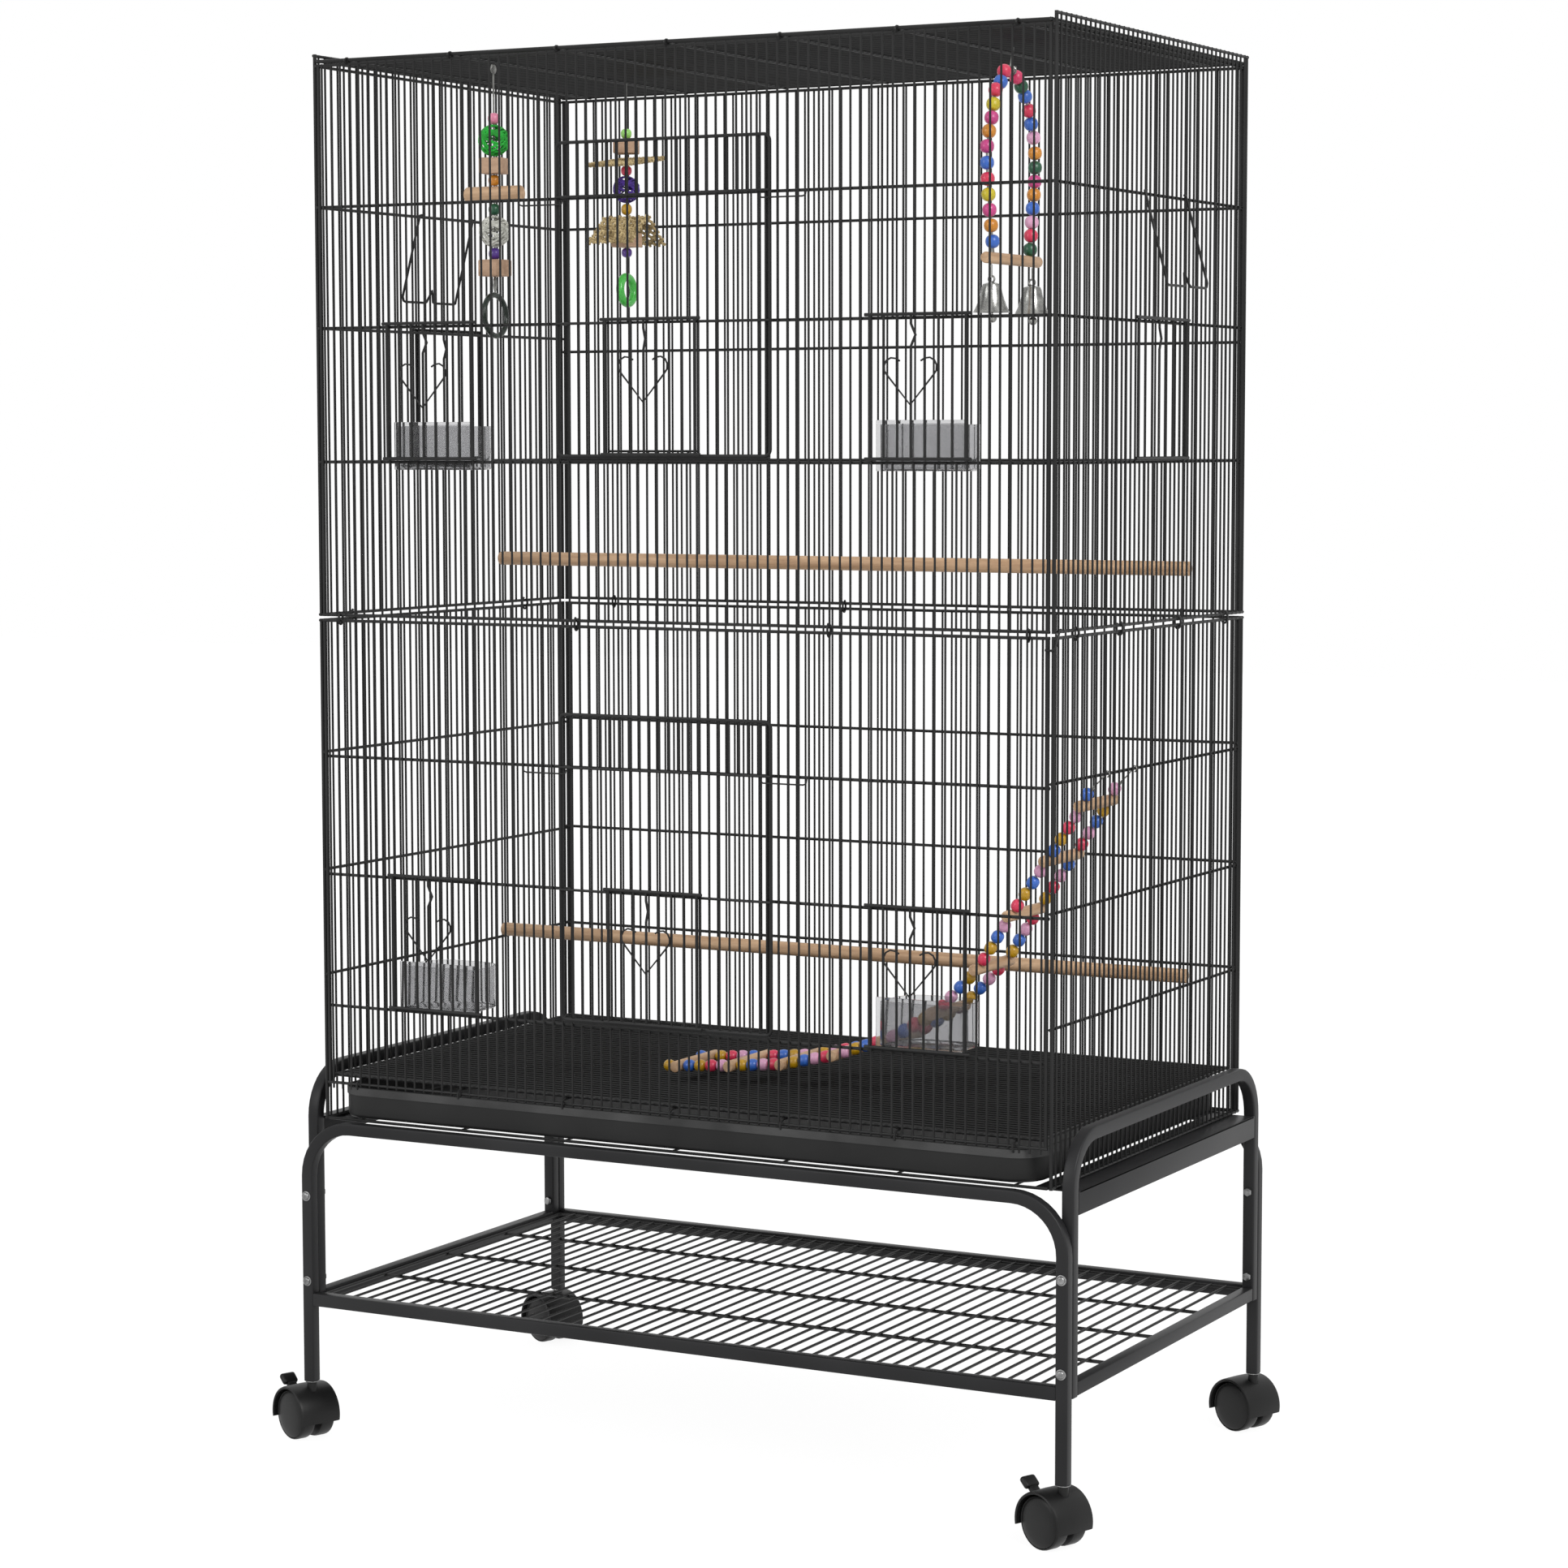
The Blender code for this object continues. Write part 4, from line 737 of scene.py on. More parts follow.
# %% Latches and bails
LATCH_Y = -DEPTH / 2 - 0.0061
for tier in ("upper", "lower"):
    height = ROWS[f"{tier}_front"][2] - 0.006
    for side, edge, out in (("left", DOOR_SPAN[0], -1), ("right", DOOR_SPAN[1], 1)):
        bundle = bmesh.new()
        path = [
            (edge - out * 0.010, LATCH_Y, height + 0.004), (edge - out * 0.0095, LATCH_Y, height + 0.001),
            (edge - out * 0.008, LATCH_Y, height), (edge + out * 0.034, LATCH_Y, height),
            (edge + out * 0.037, LATCH_Y, height + 0.001), (edge + out * 0.038, LATCH_Y, height + 0.006),
        ]
        lay_wires(bundle, [path], 0.0008)
        body, latch = f"{tier}_{side}_latch", f"{tier}_{side}_door_latch"
        finish_piece(bundle, f"{body}_wire", body, [coated_wire], [latch])
for side, sign in (("left", -1), ("right", 1)):
    top_x, foot_x = sign * (WIDTH / 2 + 0.003), sign * (WIDTH / 2 + 0.025)
    path = [
        (top_x, -0.034, 1.2268), (top_x, -0.038, 1.2262), (foot_x, -0.038, 1.1445), (foot_x, -0.0365, 1.1405),
        (foot_x, -0.033, 1.1395), (foot_x, 0.003, 1.1395), (foot_x, 0.006, 1.1405),
        (foot_x - sign * 0.003, 0.012, 1.1520), (foot_x, 0.018, 1.1405), (foot_x, 0.021, 1.1395),
        (foot_x, 0.0565, 1.1395), (foot_x, 0.060, 1.1405),
        (foot_x, 0.0615, 1.1445), (top_x, 0.0615, 1.2262), (top_x, 0.0575, 1.2268),
    ]
    bundle = bmesh.new()
    lay_wires(bundle, [path], 0.0013)
    bail = f"{side}_bail"
    finish_piece(bundle, f"{bail}_wire", bail, [coated_wire], [f"{side}_wire_bail"])

# %% [markdown]
# The stand is square steel tube, bent cold round a former, so its corners are soft and its bends
# are true quarter circles. A curve with a rounded square as its section follows the same path.
# The straight bars and the angle rails that carry the cage are bevelled slabs.

# %% Stand frames
TUBE = 0.012
LEG_X, LEG_Y, END_Y = 0.411, 0.235, 0.2225
tube_section = rounded_loop(-TUBE / 2, TUBE / 2, -TUBE / 2, TUBE / 2, 0.0016, 3)


def arch_path(half, foot, top, radius, steps=10):
    """The centre line of an upside-down U as (across, height) points."""
    points = [(-half, foot)]
    for middle, start in ((-half + radius, 180), (half - radius, 90)):
        for step in range(steps + 1):
            angle = math.radians(start - 90 * step / steps)
            points.append((middle + radius * math.cos(angle), top - radius + radius * math.sin(angle)))
    return points + [(half, foot)]


for name, side in (("front", -1), ("back", 1)):
    bundle = bmesh.new()
    path = [(u, side * LEG_Y, v) for u, v in arch_path(LEG_X, 0.060, 0.319, 0.051)]
    lay_wires(bundle, [path], 0, profile=tube_section)
    reach = LEG_X - TUBE / 2 + 0.0005
    slab(bundle, (-reach, side * LEG_Y - 0.0058, 0.137), (reach, side * LEG_Y + 0.0058, 0.150), 0.0012)
    finish_piece(bundle, f"{name}_tube_frame", ROOT, [coated_tube], [f"{name}_frame"])
for name, side in (("left", -1), ("right", 1)):
    bundle = bmesh.new()
    path = [(side * LEG_X, u, v) for u, v in arch_path(END_Y, 0.1375, 0.372, 0.046)]
    lay_wires(bundle, [path], 0, profile=tube_section)
    reach, face, inside = END_Y - TUBE / 2, side * (LEG_X + TUBE / 2), side * (LEG_X - TUBE / 2)

    def bar(near, far, y, low, high, rounding):
        slab(bundle, (min(near, far), -y, low), (max(near, far), y, high), rounding)

    bar(inside, face - side * 0.0002, reach, 0.1377, 0.1505, 0.0012)
    bar(face, face - side * 0.0022, reach, 0.3032, 0.3252, 0.0005)
    bar(face, side * 0.372, reach - 0.002, 0.3230, 0.3252, 0.0005)
    finish_piece(bundle, f"{name}_end_tube_frame", ROOT, [coated_tube], [f"{name}_end_frame"])

# %% Shelf grid
SHELF_TOP, SHELF_PITCH = 0.148, 0.0167
bundle = bmesh.new()
reach_x, reach_y = LEG_X - TUBE / 2 - 0.0005, LEG_Y - TUBE / 2 - 0.0005
count = int((reach_x - 0.004) / SHELF_PITCH)
places = [step * SHELF_PITCH for step in range(-count, count + 1)]
bars = [[(x, -reach_y, SHELF_TOP - 0.001), (x, reach_y, SHELF_TOP - 0.001)] for x in places]
lay_wires(bundle, bars, 0.0014)
rods = [[(-reach_x, y, SHELF_TOP - 0.0035), (reach_x, y, SHELF_TOP - 0.0035)] for y in (-0.115, 0, 0.115)]
lay_wires(bundle, rods, 0.0018)
rim = rounded_loop(-reach_x + 0.0018, reach_x - 0.0018, -reach_y + 0.0018, reach_y - 0.0018, 0.004)
lay_wires(bundle, [[(x, y, SHELF_TOP - 0.0020) for x, y in rim]], 0.0018, closed=True)
finish_piece(bundle, "shelf_grid_wires", ROOT, [coated_wire], ["shelf_grid"])

# %% [markdown]
# Small zinc-plated screws go through the legs, with a flanged domed head outside and a hexagon
# nut on the end frame's inner face. They are too small for the solid model, so they exist only
# here: a domed head is a short pin with a well-rounded rim, and a hexagon has six sides.

# %% Screws and nuts
bundle = bmesh.new()
for x in (-LEG_X, LEG_X):
    for height in (0.248, 0.162):
        for side in (-1, 1):
            face, inner = side * (LEG_Y + TUBE / 2), side * (END_Y - TUBE / 2)
            flange = (x, face - side * 0.0005, height), (x, face + side * 0.0010, height)
            pin(bundle, *flange, 0.0050, rounding=0.0004)
            head = (x, face, height), (x, face + side * 0.0030, height)
            pin(bundle, *head, 0.0038, rounding=0.0016, segments=3)
            nut = (x, inner + side * 0.0005, height), (x, inner - side * 0.0035, height)
            pin(bundle, *nut, 0.0044, rounding=0.0006, sides=6)
finish_piece(bundle, "stand_screws", ROOT, [zinc])

# %% [markdown]
# A caster has two domed wheels on one axle, under a hood that is open below. The stem goes up
# into the leg. Each shape is turned about the axle: a full spin for the wheels, and a spin of
# about two hundred degrees for the hood, whose ends then need no cap.

# %% Casters
WHEEL_RADIUS, TRAIL, TURN = 0.025, 0.012, math.radians(-22.4)
HOOD_SWEEP = -204
AXLE_TURN = Matrix.Rotation(math.radians(-90), 4, "X")
wheel_outline = (
    (0, 0.0036), (0.0225, 0.0036), (0.0243, 0.0044), (0.0250, 0.0066), (0.0250, 0.0160), (0.0246, 0.0176),
    (0.0238, 0.0184), (0.0232, 0.0178), (0.0226, 0.0184), (0.0200, 0.0195), (0.0150, 0.0203), (0.0080, 0.0208),
    (0, 0.0209),
)
hood_outline = (
    (0.0264, -0.0190), (0.0264, 0.0190), (0.0264, 0.0214), (0.0274, 0.0225), (0.0286, 0.0218),
    (0.0292, 0.0195), (0.0296, 0), (0.0292, -0.0195), (0.0286, -0.0218), (0.0274, -0.0225), (0.0264, -0.0214),
)


def caster(corner, x, y, brake):
    name = f"{corner}_caster"
    local = Matrix.Translation((x, y, 0)) @ Matrix.Rotation(TURN, 4, "Z")
    axle = local @ Matrix.Translation((-TRAIL, 0, WHEEL_RADIUS)) @ AXLE_TURN
    wheels = bmesh.new()
    turn_profile(wheels, wheel_outline, axle, steps=40)
    turn_profile(wheels, wheel_outline, axle @ Matrix.Rotation(math.pi, 4, "X"), steps=40)
    pin(wheels, axle @ Vector((0, 0, -0.004)), axle @ Vector((0, 0, 0.004)), 0.003)
    finish_piece(
        wheels, f"{name}_tyres", f"{corner}_wheels", [caster_plastic], [f"{name}_wheels"],
    )

    hood = bmesh.new()
    start = axle @ Matrix.Rotation(math.radians(12), 4, "Z")
    turn_profile(hood, hood_outline, start, steps=30, angle=HOOD_SWEEP, closed=True)
    web = [(0.0045, -0.0030), (0.0266, -0.0030), (0.0266, 0.0030), (0.0045, 0.0030)]
    turn_profile(hood, web, start, steps=30, angle=HOOD_SWEEP, closed=True)
    foot = local @ Vector((0, 0, 0.0485))
    pin(hood, foot, local @ Vector((0, 0, 0.0597)), 0.0052, rounding=0.0006, sides=24)
    ring = local @ Vector((0, 0, 0.0590)), local @ Vector((0, 0, 0.0599))
    pin(hood, *ring, 0.0068, 1, rounding=0.0003, sides=24)
    finish_piece(hood, f"{name}_cover", name, [caster_plastic, zinc], [f"{name}_hood"])

    if brake:
        tilt = local @ Matrix.Translation((-TRAIL, 0, WHEEL_RADIUS))
        tilt = tilt @ Matrix.Rotation(math.radians(42), 4, "Y")
        paddle = bmesh.new()
        verts = slab(paddle, (-0.0490, -0.0085, -0.0034), (-0.0365, 0.0085, 0.0028), 0.0029, segments=4)
        verts += slab(paddle, (-0.0380, -0.0050, -0.0026), (-0.0304, 0.0050, 0.0020), 0.0012)
        bmesh.ops.transform(paddle, matrix=tilt, verts=verts)
        finish_piece(
            paddle, f"{name}_brake_paddle", f"{corner}_brake", [caster_plastic], [f"{name}_brake"],
        )


for end, y_side in (("front", -1), ("back", 1)):
    for side, x_side in (("left", -1), ("right", 1)):
        caster(f"{end}_{side}", x_side * LEG_X, y_side * LEG_Y, y_side < 0)

# %% [markdown]
# The tray is one moulding. A cube is scaled to its size, its upright edges are rounded to 30 mm
# and its foot to 3 mm, the top face is removed, and Solidify gives the wall. The pebbled band
# round its rim is a second, slightly larger ring of the same shape.

# %% Tray
def open_box(bundle, low, high, corner, foot, wall, look=0, band=False, only=None):
    """An open-topped box. A band has no floor either."""
    low, high = Vector(low), Vector(high)
    place = Matrix.Translation((low + high) / 2) @ Matrix.Diagonal((*(high - low), 1))
    verts = bmesh.ops.create_cube(bundle, size=1, matrix=place)["verts"]
    rises = lambda edge: abs(edge.verts[0].co.z - edge.verts[1].co.z) > 1e-4
    upright = lambda edge: rises(edge) and (only is None or only(edge))
    verts = round_edges(bundle, verts, corner, 8, keep=upright)
    if not band:
        base_edge = lambda edge: all(vert.co.z < low.z + 1e-4 for vert in edge.verts)
        verts = round_edges(bundle, verts, foot, 3, least_angle=60, keep=base_edge)
    faces = {face for vert in verts for face in vert.link_faces}
    lids = [f for f in faces if abs(f.normal.z) > 0.99 and (band or f.calc_center_median().z > high.z - 1e-4)]
    bmesh.ops.delete(bundle, geom=lids, context="FACES_ONLY")
    faces = [face for face in faces if face.is_valid]
    before = set(bundle.faces) - set(faces)
    bmesh.ops.solidify(bundle, geom=faces, thickness=wall)
    made = [face for face in bundle.faces if face not in before]
    bmesh.ops.recalc_face_normals(bundle, faces=made)
    for face in made:
        face.material_index, face.smooth = look, True


bundle = bmesh.new()
open_box(bundle, (-0.3795, -0.2315, 0.3295), (0.3795, 0.2175, 0.3605), 0.030, 0.004, 0.0018)
open_box(bundle, (-0.3803, -0.2323, 0.3525), (0.3803, 0.2183, 0.3600), 0.030, 0, 0.0010, 1, band=True)
finish_piece(bundle, "tray_moulding", "drawer", [tray_plastic, tray_rim_plastic], ["tray"])

# %% [markdown]
# A feeder cup is the same open box with only its two rear corners rounded, joined to a flat
# flange that hangs behind the door. Perches are dowels that run the width of the cage, a little
# rounded where they were cut.

# %% Cups and perches
CUP_BOTTOM = {"upper": 0.9695, "lower": 0.4430}
for tier, bottom in CUP_BOTTOM.items():
    for side, middle in (("left", -(FEEDER[0] + FEEDER[1]) / 2), ("right", (FEEDER[0] + FEEDER[1]) / 2)):
        bundle = bmesh.new()
        rear = lambda edge: edge.verts[0].co.y > -0.18
        low, high = (middle - 0.0412, -0.2238, bottom), (middle + 0.0412, -0.1672, bottom + 0.0420)
        open_box(bundle, low, high, 0.026, 0.003, 0.0016, only=rear)
        front, back = (middle - 0.0455, -0.2250, bottom), (middle + 0.0455, -0.2234, bottom + 0.0460)
        slab(bundle, front, back, 0.0006)
        cup = f"{tier}_{side}_cup"
        finish_piece(bundle, f"{cup}_moulding", f"{cup}_body", [cup_plastic], [cup])
reach = WIDTH / 2 - 0.0048
for tier, height in (("upper", 0.874), ("lower", 0.479)):
    bundle = bmesh.new()
    pin(bundle, (-reach, 0.098, height), (reach, 0.098, height), 0.007, rounding=0.001, sides=28)
    finish_piece(bundle, f"{tier}_perch_dowel", ROOT, [beech_x], [f"{tier}_perch"])

# %% [markdown]
# The bead ladder hangs from the right wall and trails down onto the grate. Each side is a wire
# strung with round beads, four between one beech rung and the next. The line passes through the
# middle of every rung, and between two rungs it is straight, because the beads pull it tight.

# %% Bead ladder
LADDER_Y, STRAND = -0.070, 0.032
LADDER_LINE = (
    (0.3810, 0.6810), (0.3680, 0.6610), (0.3328, 0.6083), (0.2955, 0.5548), (0.2616, 0.5023), (0.2163, 0.4560),
    (0.1655, 0.4290), (0.1112, 0.4095), (0.0546, 0.3965), (-0.0021, 0.3906), (-0.0615, 0.3860), (-0.0770, 0.3850),
)
# Bead colours from the top: one letter each, four for every space between two rungs.
BEAD_LETTERS = {"p": "light_pink", "r": "red", "y": "yellow", "b": "blue"}
FRONT_BEADS = "pryb pbyr pbyr ybpr yrbp rbyp rpby rpby pryb"
BACK_BEADS = "ybpr bpry rpby rpby pybr ybpr brpy pybr bpry"

bundle = bmesh.new()
letters = list(BEAD_LETTERS)
rungs = [Vector((x, LADDER_Y, z)) for x, z in LADDER_LINE[1:-1]]
for side, order in ((-1, FRONT_BEADS), (1, BACK_BEADS)):
    shift = Vector((0, side * STRAND, 0))
    lay_wires(bundle, [[Vector((x, LADDER_Y, z)) + shift for x, z in LADDER_LINE]], 0.0009, 1)
    for upper_rung, lower_rung, colours in zip(rungs, rungs[1:], order.split()):
        along = (lower_rung - upper_rung).normalized()
        room = (lower_rung - upper_rung).length - 0.0104
        for place, colour in enumerate(colours):
            centre = upper_rung + along * (0.0052 + room * (place + 0.5) / 4) + shift
            bead_at(bundle, centre, along, 0.0125, 0.0060, 2 + letters.index(colour))
    above = rungs[0] + Vector((0.0045, 0, 0.0108)) + shift
    bead_at(bundle, above, (0.5, 0, 0.85), 0.0125, 0.0060, 2 + letters.index("b" if side < 0 else "p"))
    hook = (
        (0.3725, 0.6720), (0.3800, 0.6800), (0.3850, 0.6845), (0.3895, 0.6900), (0.3920, 0.6945),
        (0.3945, 0.6940), (0.3950, 0.6915), (0.3930, 0.6885),
    )
    for twist in (-0.0009, 0.0009):
        path = [(x, LADDER_Y + side * STRAND + twist * math.cos(2.2 * step), z) for step, (x, z) in enumerate(hook)]
        lay_wires(bundle, [path], 0.0006, 1, sides=6)
tail = rungs[-1] + Vector((-0.0112, -STRAND, -0.0006))
bead_at(bundle, tail, (1, 0, 0), 0.0115, 0.0058, 2 + letters.index("y"))
bead_at(bundle, tail + Vector((0, 2 * STRAND, 0)), (1, 0, 0), 0.0115, 0.0058, 2 + letters.index("b"))
for rung in rungs:
    half = Vector((0, 0.042, 0))
    pin(bundle, rung - half, rung + half, 0.0055, 0, rounding=0.0009, sides=20)
looks = [beech_y, bright_wire] + [bead[name] for name in BEAD_LETTERS.values()]
finish_piece(bundle, "bead_ladder_strung", ROOT, looks, ["bead_ladder"])

# %% [markdown]
# Three bird toys hang from the roof. The first two are strung on a wire: beads, sawn blocks, a
# cross dowel, balls woven from split vine, and mats of seagrass, with a ring at the foot. A
# vine ball is many thin hoops round one centre, each turned a little further than the last.

# %% Strung toy makers
def vine_ball(bundle, centre, radius, look, hoops=17):
    """A ball woven from thin hoops, open enough to see through."""
    paths = []
    for number in range(hoops):
        lean = Matrix.Rotation(math.radians(137.5) * number, 4, "Z")
        lean = lean @ Matrix.Rotation(math.radians(20 + 53 * number % 70), 4, "Y")
        wobble = 0.5 + 0.5 * math.sin(number * 2.1)
        reach, lift = radius * (0.91 + 0.03 * wobble), radius * 0.42 * math.sin(number * 1.7)
        ring = math.sqrt(max(reach**2 - lift**2, 0))
        paths.append([
            Vector(centre) + lean @ Vector((ring * math.cos(turn), ring * math.sin(turn), lift))
            for turn in [math.tau * step / 28 for step in range(28)]
        ])
    lay_wires(bundle, paths, radius * 0.07, look, closed=True, sides=6)


def block(bundle, x, y, low, high, half, look=0, turn=0.0):
    """A sawn block, turned a little on its string."""
    verts = slab(bundle, (-half, -half, low), (half, half, high), 0.0012, look)
    spin = Matrix.Translation((x, y, 0)) @ Matrix.Rotation(math.radians(turn), 4, "Z")
    bmesh.ops.transform(bundle, matrix=spin, verts=verts)


def ring_hoop(bundle, centre, major, minor, look):
    points = [
        (centre[0] - 0.05 * major * math.sin(turn), centre[1] + major * math.cos(turn), centre[2] + major * math.sin(turn))
        for turn in [math.tau * step / 40 for step in range(40)]
    ]
    lay_wires(bundle, [points], minor, look, closed=True, sides=14)


def woven_mat(bundle, place, half_u, half_v, look, pitch=0.0036, thick=0.0013):
    """Flat basket weave: strands along both edges, each going over and under the others."""
    count_u, count_v = int(2 * half_u / pitch), int(2 * half_v / pitch)
    paths = []
    for row in range(count_v):
        v = -half_v + (row + 0.5) * 2 * half_v / count_v
        points = []
        for step in range(2 * count_u + 1):
            u = -half_u + step * half_u / count_u
            points.append(place(u, v, thick * 0.8 * math.cos(math.pi * step / 2 + math.pi * (row % 2))))
        paths.append(points)
    for row in range(count_u):
        u = -half_u + (row + 0.5) * 2 * half_u / count_u
        points = []
        for step in range(2 * count_v + 1):
            v = -half_v + step * half_v / count_v
            points.append(place(u, v, -thick * 0.8 * math.cos(math.pi * step / 2 + math.pi * (row % 2))))
        paths.append(points)
    lay_wires(bundle, paths, thick, look, sides=6)


ROOF_HOOK = 1.3608

# %% First toy
A_X, A_Y = -0.2390, -0.1480
bundle = bmesh.new()
looks = [
    sawn_pine, bright_wire, bead["pink"], green_vine, bead["orange"], beech_x, bead["green"], silver_vine,
    bead["purple"], dark_acrylic,
]
lay_wires(bundle, [[(A_X, A_Y, ROOF_HOOK), (A_X, A_Y, 1.1400)]], 0.0010, 1)
hook_eye = [
    (A_X, A_Y + 0.004 * math.sin(turn), ROOF_HOOK - 0.004 + 0.004 * math.cos(turn))
    for turn in [math.radians(angle) for angle in range(-150, 180, 30)]
]
lay_wires(bundle, [hook_eye], 0.0010, 1, sides=6)
for low, high, half, colour in (
    (1.3038, 1.3148, 0.0058, 2), (1.2446, 1.2551, 0.0058, 4),
    (1.2163, 1.2274, 0.0058, 6), (1.1732, 1.1848, 0.0060, 8),
):
    bead_at(bundle, (A_X, A_Y, (low + high) / 2), (0, 0, 1), high - low, half, colour)
vine_ball(bundle, (A_X, A_Y, 1.2883), 0.0155, 3)
vine_ball(bundle, (A_X, A_Y, 1.2007), 0.0155, 7)
block(bundle, A_X, A_Y, 1.2561, 1.2714, 0.0118, 0, 12)
block(bundle, A_X, A_Y, 1.1571, 1.1732, 0.0118, 0, -8)
pin(bundle, (A_X - 0.031, A_Y, 1.2364), (A_X + 0.031, A_Y, 1.2364), 0.0078, 5, rounding=0.0010, sides=24)
twists = []
for turn in (0, math.pi):
    twists.append([
        (A_X, A_Y + 0.0022 * math.cos(turn) * math.sin(math.pi * step / 8), 1.1571 - 0.0146 * step / 8)
        for step in range(9)
    ])
lay_wires(bundle, twists, 0.0010, 1, sides=6)
ring_hoop(bundle, (A_X, A_Y, 1.1193), 0.0199, 0.0027, 9)
finish_piece(bundle, "toy_a_strung", "toy_a", looks, ["toy_a_string", "toy_a_ring"])

# %% Second toy
B_X, B_Y = -0.2260, 0.0830
bundle = bmesh.new()
looks = [
    sawn_pine, bright_wire, bead["light_green"], bead["red"], purple_vine, bead["yellow"], bead["purple"],
    seagrass, green_acrylic,
]
lay_wires(bundle, [[(B_X, B_Y, ROOF_HOOK), (B_X, B_Y, 1.1680)]], 0.0010, 1)
for low, high, half, colour in (
    (1.3049, 1.3154, 0.0056, 2), (1.2675, 1.2780, 0.0056, 3),
    (1.2277, 1.2393, 0.0056, 5), (1.1846, 1.1945, 0.0054, 6),
):
    bead_at(bundle, (B_X, B_Y, (low + high) / 2), (0, 0, 1), high - low, half, colour)
vine_ball(bundle, (B_X, B_Y, 1.2538), 0.0140, 4)
block(bundle, B_X, B_Y, 1.2899, 1.3044, 0.0118, 0, 20)
block(bundle, B_X, B_Y, 1.1950, 1.2095, 0.0115, 0, -15)
ring_hoop(bundle, (B_X, B_Y, 1.1513), 0.0135, 0.0042, 8)
lean = math.radians(8)
MAT_HALF = (0.0275, 0.0375)


def tilted_mat(u, v, lift):
    return (B_X + u, B_Y + v * math.cos(lean), 1.2820 + v * math.sin(lean) + lift)


def tent_side(sign):
    """One slope of the folded mat, from its ridge down and outwards."""
    slope = Vector((0, sign * 0.0355, -0.0290)).normalized()
    out = Vector((0, sign * -slope.z, abs(slope.y)))
    ridge = Vector((B_X, B_Y, 1.2265))
    return lambda u, v, lift: ridge + Vector((u, 0, 0)) + slope * (v + 0.0229) + out * lift


woven_mat(bundle, tilted_mat, MAT_HALF[0], MAT_HALF[1], 7, 0.0052, 0.0015)
for sign in (-1, 1):
    woven_mat(bundle, tent_side(sign), 0.0268, 0.0225, 7, 0.0052, 0.0015)
finish_piece(bundle, "toy_b_strung", "toy_b", looks, ["toy_b_string", "toy_b_ring", "toy_b_tent"])

# %% [markdown]
# The bead swing is an arch of stiff wire strung with painted beads over a beech dowel. Its
# outline isn't quite even, because the wire is bent by hand. A nickel bell hangs from each end
# of the dowel, turned from a flared profile, with a ball for a clapper.

# %% Bead swing
S_X, S_Y = 0.2757, -0.0615
SWING_BEADS = (
    (-0.0432, 1.1797, "blue"), (-0.0466, 1.1941, "orange"), (-0.0500, 1.2081, "magenta"), (-0.0522, 1.2221, "lemon"),
    (-0.0542, 1.2361, "red"), (-0.0557, 1.2507, "blue"), (-0.0557, 1.2656, "magenta"), (-0.0514, 1.2796, "orange"),
    (-0.0462, 1.2922, "magenta"), (-0.0423, 1.3048, "lemon"), (-0.0376, 1.3182, "red"), (-0.0268, 1.3262, "blue"),
    (-0.0190, 1.3366, "red"), (0.0078, 1.3332, "rose"), (0.0186, 1.3256, "green"), (0.0272, 1.3170, "blue"),
    (0.0359, 1.3046, "red"), (0.0410, 1.2926, "blue"), (0.0467, 1.2802, "light_pink"), (0.0501, 1.2660, "orange"),
    (0.0505, 1.2526, "green"), (0.0497, 1.2396, "magenta"), (0.0480, 1.2271, "orange"), (0.0454, 1.2143, "blue"),
    (0.0436, 1.2013, "light_pink"), (0.0419, 1.1887, "red"), (0.0402, 1.1757, "green"),
)
bundle = bmesh.new()
names = sorted({colour for *_, colour in SWING_BEADS})
looks = [bright_wire] + [bead[name] for name in names]
centres = [Vector((S_X, S_Y + across, height)) for across, height, _ in SWING_BEADS]
arch = [
    Vector((S_X, S_Y - 0.0405, 1.1650)), *centres[:13], Vector((S_X, S_Y - 0.006, 1.3395)), *centres[13:],
    Vector((S_X, S_Y + 0.0395, 1.1650)),
]
lay_wires(bundle, [arch], 0.0012)
for number, (centre, (_, _, colour)) in enumerate(zip(centres, SWING_BEADS)):
    ahead, behind = centres[min(number + 1, 26)], centres[max(number - 1, 0)]
    bead_at(bundle, centre, ahead - behind, 0.0125, 0.0066, 1 + names.index(colour))
wrap = [
    (S_X + 0.0035 * math.sin(turn), S_Y - 0.006 + 0.0007 * turn - 0.009, 1.3388 + 0.0035 * math.cos(turn))
    for turn in [math.radians(angle) for angle in range(0, 1500, 40)]
]
lay_wires(bundle, [wrap], 0.0009, sides=6)
lay_wires(bundle, [[(S_X, S_Y - 0.006, 1.3400), (S_X, S_Y - 0.002, 1.3500), (S_X, S_Y, 1.3600)]], 0.0011)
finish_piece(bundle, "swing_arch_strung", "swing", looks, ["swing_arch"])

bundle = bmesh.new()
pin(bundle, (S_X, S_Y - 0.0585, 1.1646), (S_X, S_Y + 0.0585, 1.1646), 0.0053, rounding=0.0012, sides=24)
finish_piece(bundle, "swing_dowel", "swing", [beech_y], ["swing_perch"])

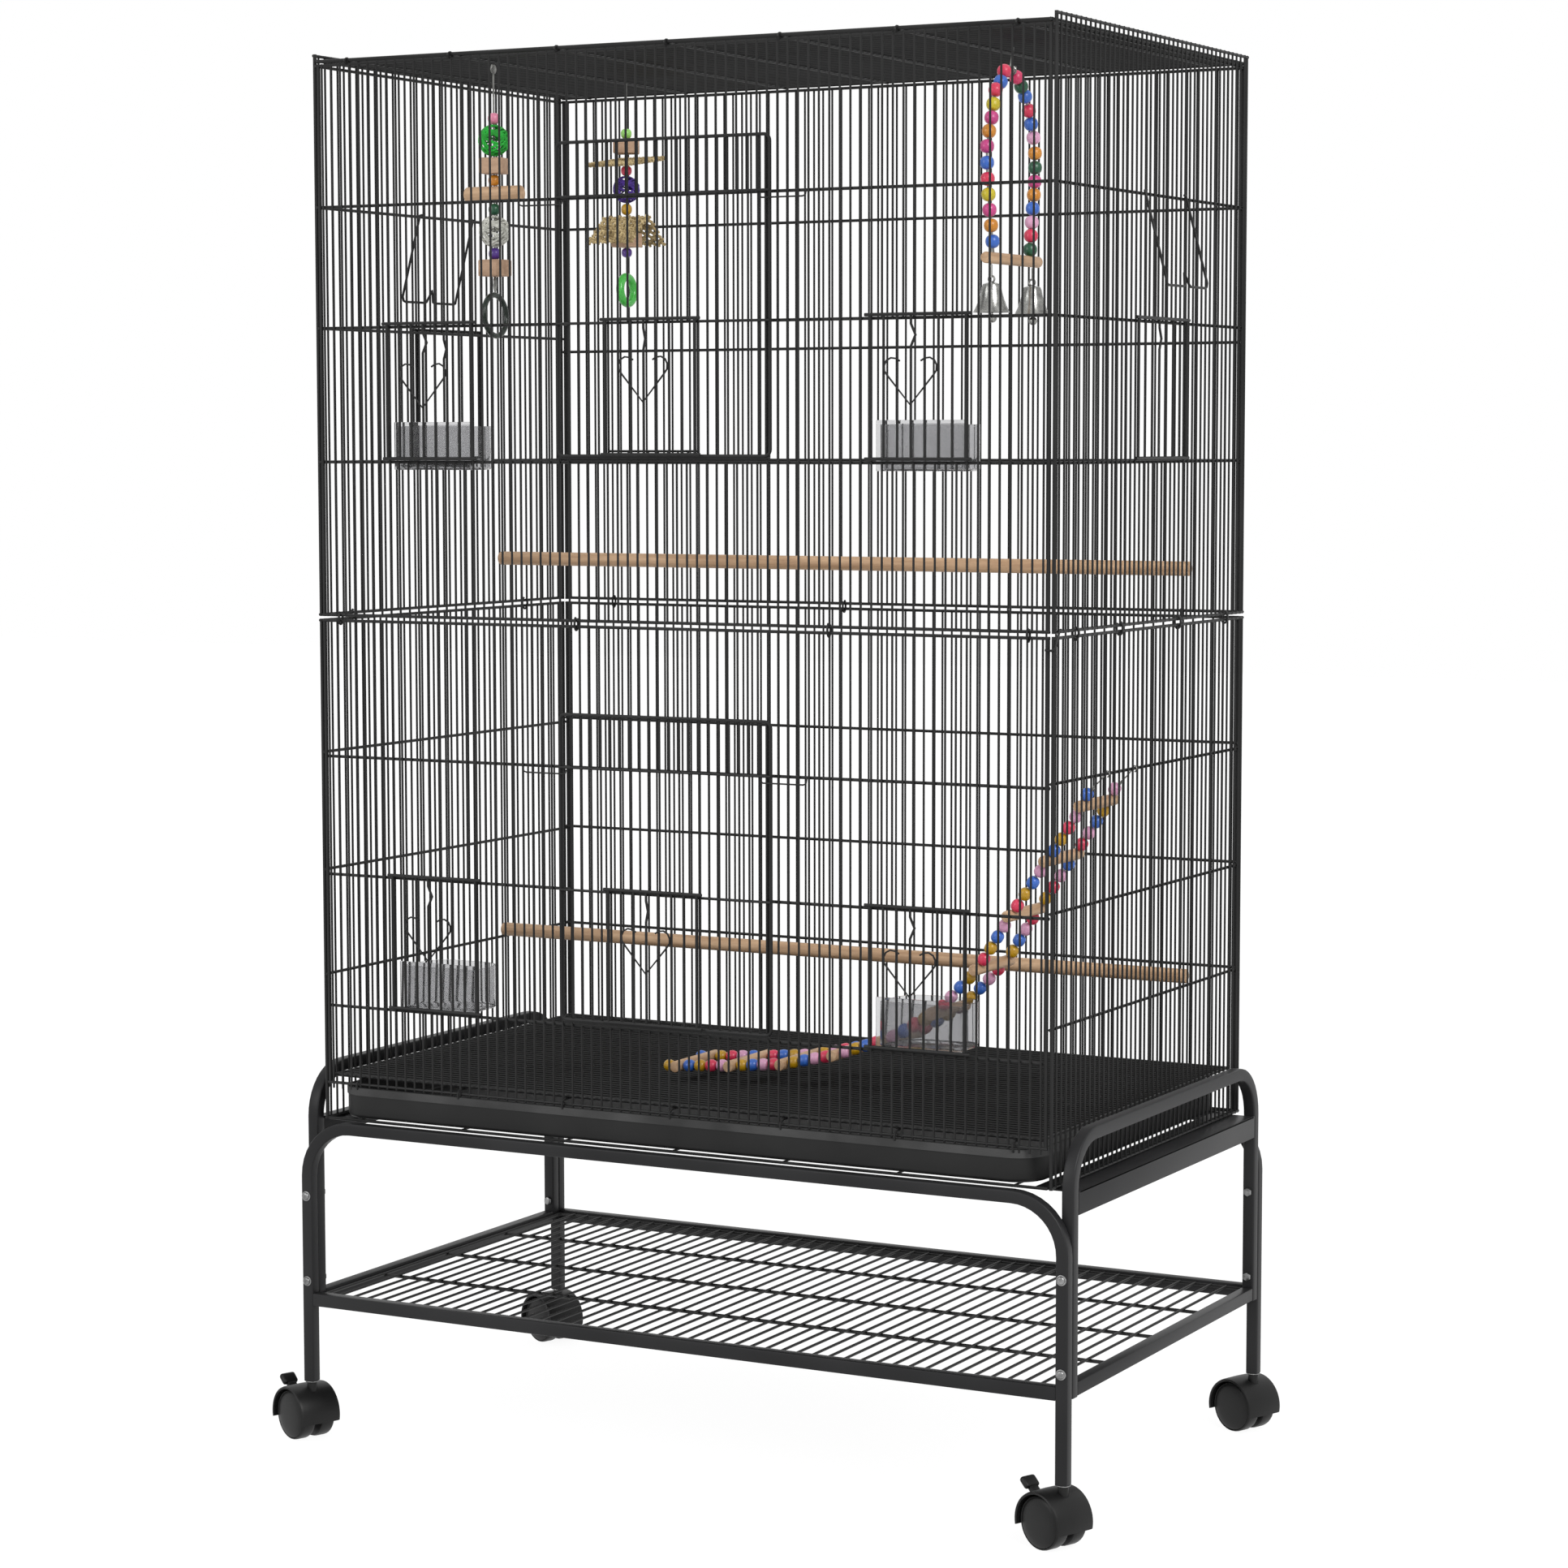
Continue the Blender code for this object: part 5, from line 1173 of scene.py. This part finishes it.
# %% Bells
bell_outline = (
    (0, 0), (0.0040, -0.0003), (0.0080, -0.0016), (0.0092, -0.0045), (0.0100, -0.0090), (0.0116, -0.0150),
    (0.0140, -0.0215), (0.0163, -0.0262), (0.0171, -0.0275), (0.0165, -0.0275), (0.0150, -0.0255), (0.0130, -0.0212),
    (0.0106, -0.0150), (0.0090, -0.0090), (0.0082, -0.0048), (0.0040, -0.0020), (0, -0.0016),
)
for name, side in (("front", -1), ("back", 1)):
    bundle = bmesh.new()
    crown = Vector((S_X, S_Y + side * 0.045, 1.1422))
    turn_profile(bundle, bell_outline, Matrix.Translation(crown), steps=36)
    eye = [
        crown + Vector((0.0030 * math.sin(turn), 0, 0.0030 - 0.0030 * math.cos(turn)))
        for turn in [math.tau * step / 12 for step in range(12)]
    ]
    lay_wires(bundle, [eye], 0.0009, 1, closed=True, sides=6)
    lay_wires(bundle, [[crown + Vector((0, 0, 0.0045)), crown + Vector((0, 0, 0.0165))]], 0.0009, 1, sides=6)
    stalk = [crown + Vector((0, 0, -0.002)), crown + Vector((0.001, 0, -0.030))]
    lay_wires(bundle, [stalk], 0.0006, 1, sides=6)
    clapper = Matrix.Translation(crown + Vector((0.001, 0, -0.0330)))
    ball = bmesh.ops.create_uvsphere(bundle, u_segments=16, v_segments=10, radius=0.0040, matrix=clapper)
    dress(bundle, ball["verts"], 0)
    finish_piece(
        bundle, f"{name}_bell_shell", f"{name}_swing_bell", [nickel, bright_wire], [f"{name}_bell"],
    )

# %% [markdown]
# Small coated clips join the two tiers along their seam. Each is a short open loop of wire, bent
# round the two rails. Their places follow the real cage, where a few sit on each side. A longer
# hook holds the front right corner.

# %% Tier clips
bundle = bmesh.new()
clip_turns = [math.radians(angle) for angle in range(20, 345, 25)]
spots = [("front", u) for u in (-0.37, -0.10, 0.17, 0.37)] + [("back", u) for u in (-0.33, -0.05, 0.14, 0.33)]
spots += [("left", u) for u in (-0.17, 0.15)] + [("right", u) for u in (-0.18, -0.08, 0.06, 0.18)]
for side, u in spots:
    loop = [
        on_wall(side, u, 0.0015 - 0.0032 * math.sin(turn), TIER_Z + 0.0062 * math.cos(turn))
        for turn in clip_turns
    ]
    lay_wires(bundle, [loop], 0.0012, sides=6)
corner = (WIDTH / 2, -DEPTH / 2)
hook = (
    (0.0, 0.014, 0.0045), (0.0014, 0.008, 0.0040), (0.0016, 0.003, -0.0040), (0.0012, 0.0, -0.0110),
    (-0.0020, -0.0016, -0.0135), (-0.0080, -0.0020, -0.0130),
)
lay_wires(bundle, [[(corner[0] + x, corner[1] + y, TIER_Z + z) for x, y, z in hook]], 0.0012)
finish_piece(bundle, "tier_clips", ROOT, [coated_wire])

# %% [markdown]
# The room is plain: a glowing sheet, an even white surround, and two large soft lights. The key
# light is high on the right, so the right-hand faces of the black tube turn grey, and a weaker
# one fills from the left. The colours are shown as they are, with no film curve.

# %% Room and light
floor_finish, tree, shader, mapped = begin_finish("lit_studio_sheet")
cloud = grain(tree, mapped, 400, 2.0)
tone = tint(tree, (cloud, "Fac"), ("#545454", "#585858"))
tree.links.new(tone.outputs["Color"], shader.inputs["Base Color"])
shader.inputs["Roughness"].default_value = 0.95
shader.inputs["Specular IOR Level"].default_value = 0.1
shader.inputs["Emission Color"].default_value = (1.0, 1.0, 1.0, 1.0)
shader.inputs["Emission Strength"].default_value = 0.93
room = bmesh.new()
bmesh.ops.create_grid(room, x_segments=8, y_segments=8, size=12)
floor_mesh = bpy.data.meshes.new("studio_floor")
room.to_mesh(floor_mesh)
room.free()
floor_mesh.materials.append(floor_finish)
floor = bpy.data.objects.new("studio_floor", floor_mesh)
bpy.context.scene.collection.objects.link(floor)

world = bpy.data.worlds.new("studio_surround")
world.use_nodes = True
world.node_tree.nodes["Background"].inputs["Color"].default_value = (1.0, 1.0, 1.0, 1.0)
world.node_tree.nodes["Background"].inputs["Strength"].default_value = 1.0
bpy.context.scene.world = world
bpy.context.scene.view_settings.view_transform = "Standard"


def soft_light(name, place, aim, size, watts):
    light = bpy.data.objects.new(name, bpy.data.lights.new(name, "AREA"))
    light.data.shape, light.data.size, light.data.energy = "DISK", size, watts
    direction = Vector(aim) - Vector(place)
    light.matrix_world = Matrix.Translation(place) @ direction.to_track_quat("-Z", "Y").to_matrix().to_4x4()
    bpy.context.scene.collection.objects.link(light)
    return light


soft_light("key_light", (2.6, -1.6, 2.6), (0, 0, 0.8), 1.6, 90)
soft_light("fill_light", (-1.6, -3.0, 2.0), (0, 0, 0.8), 2.0, 35)
print("room ready")
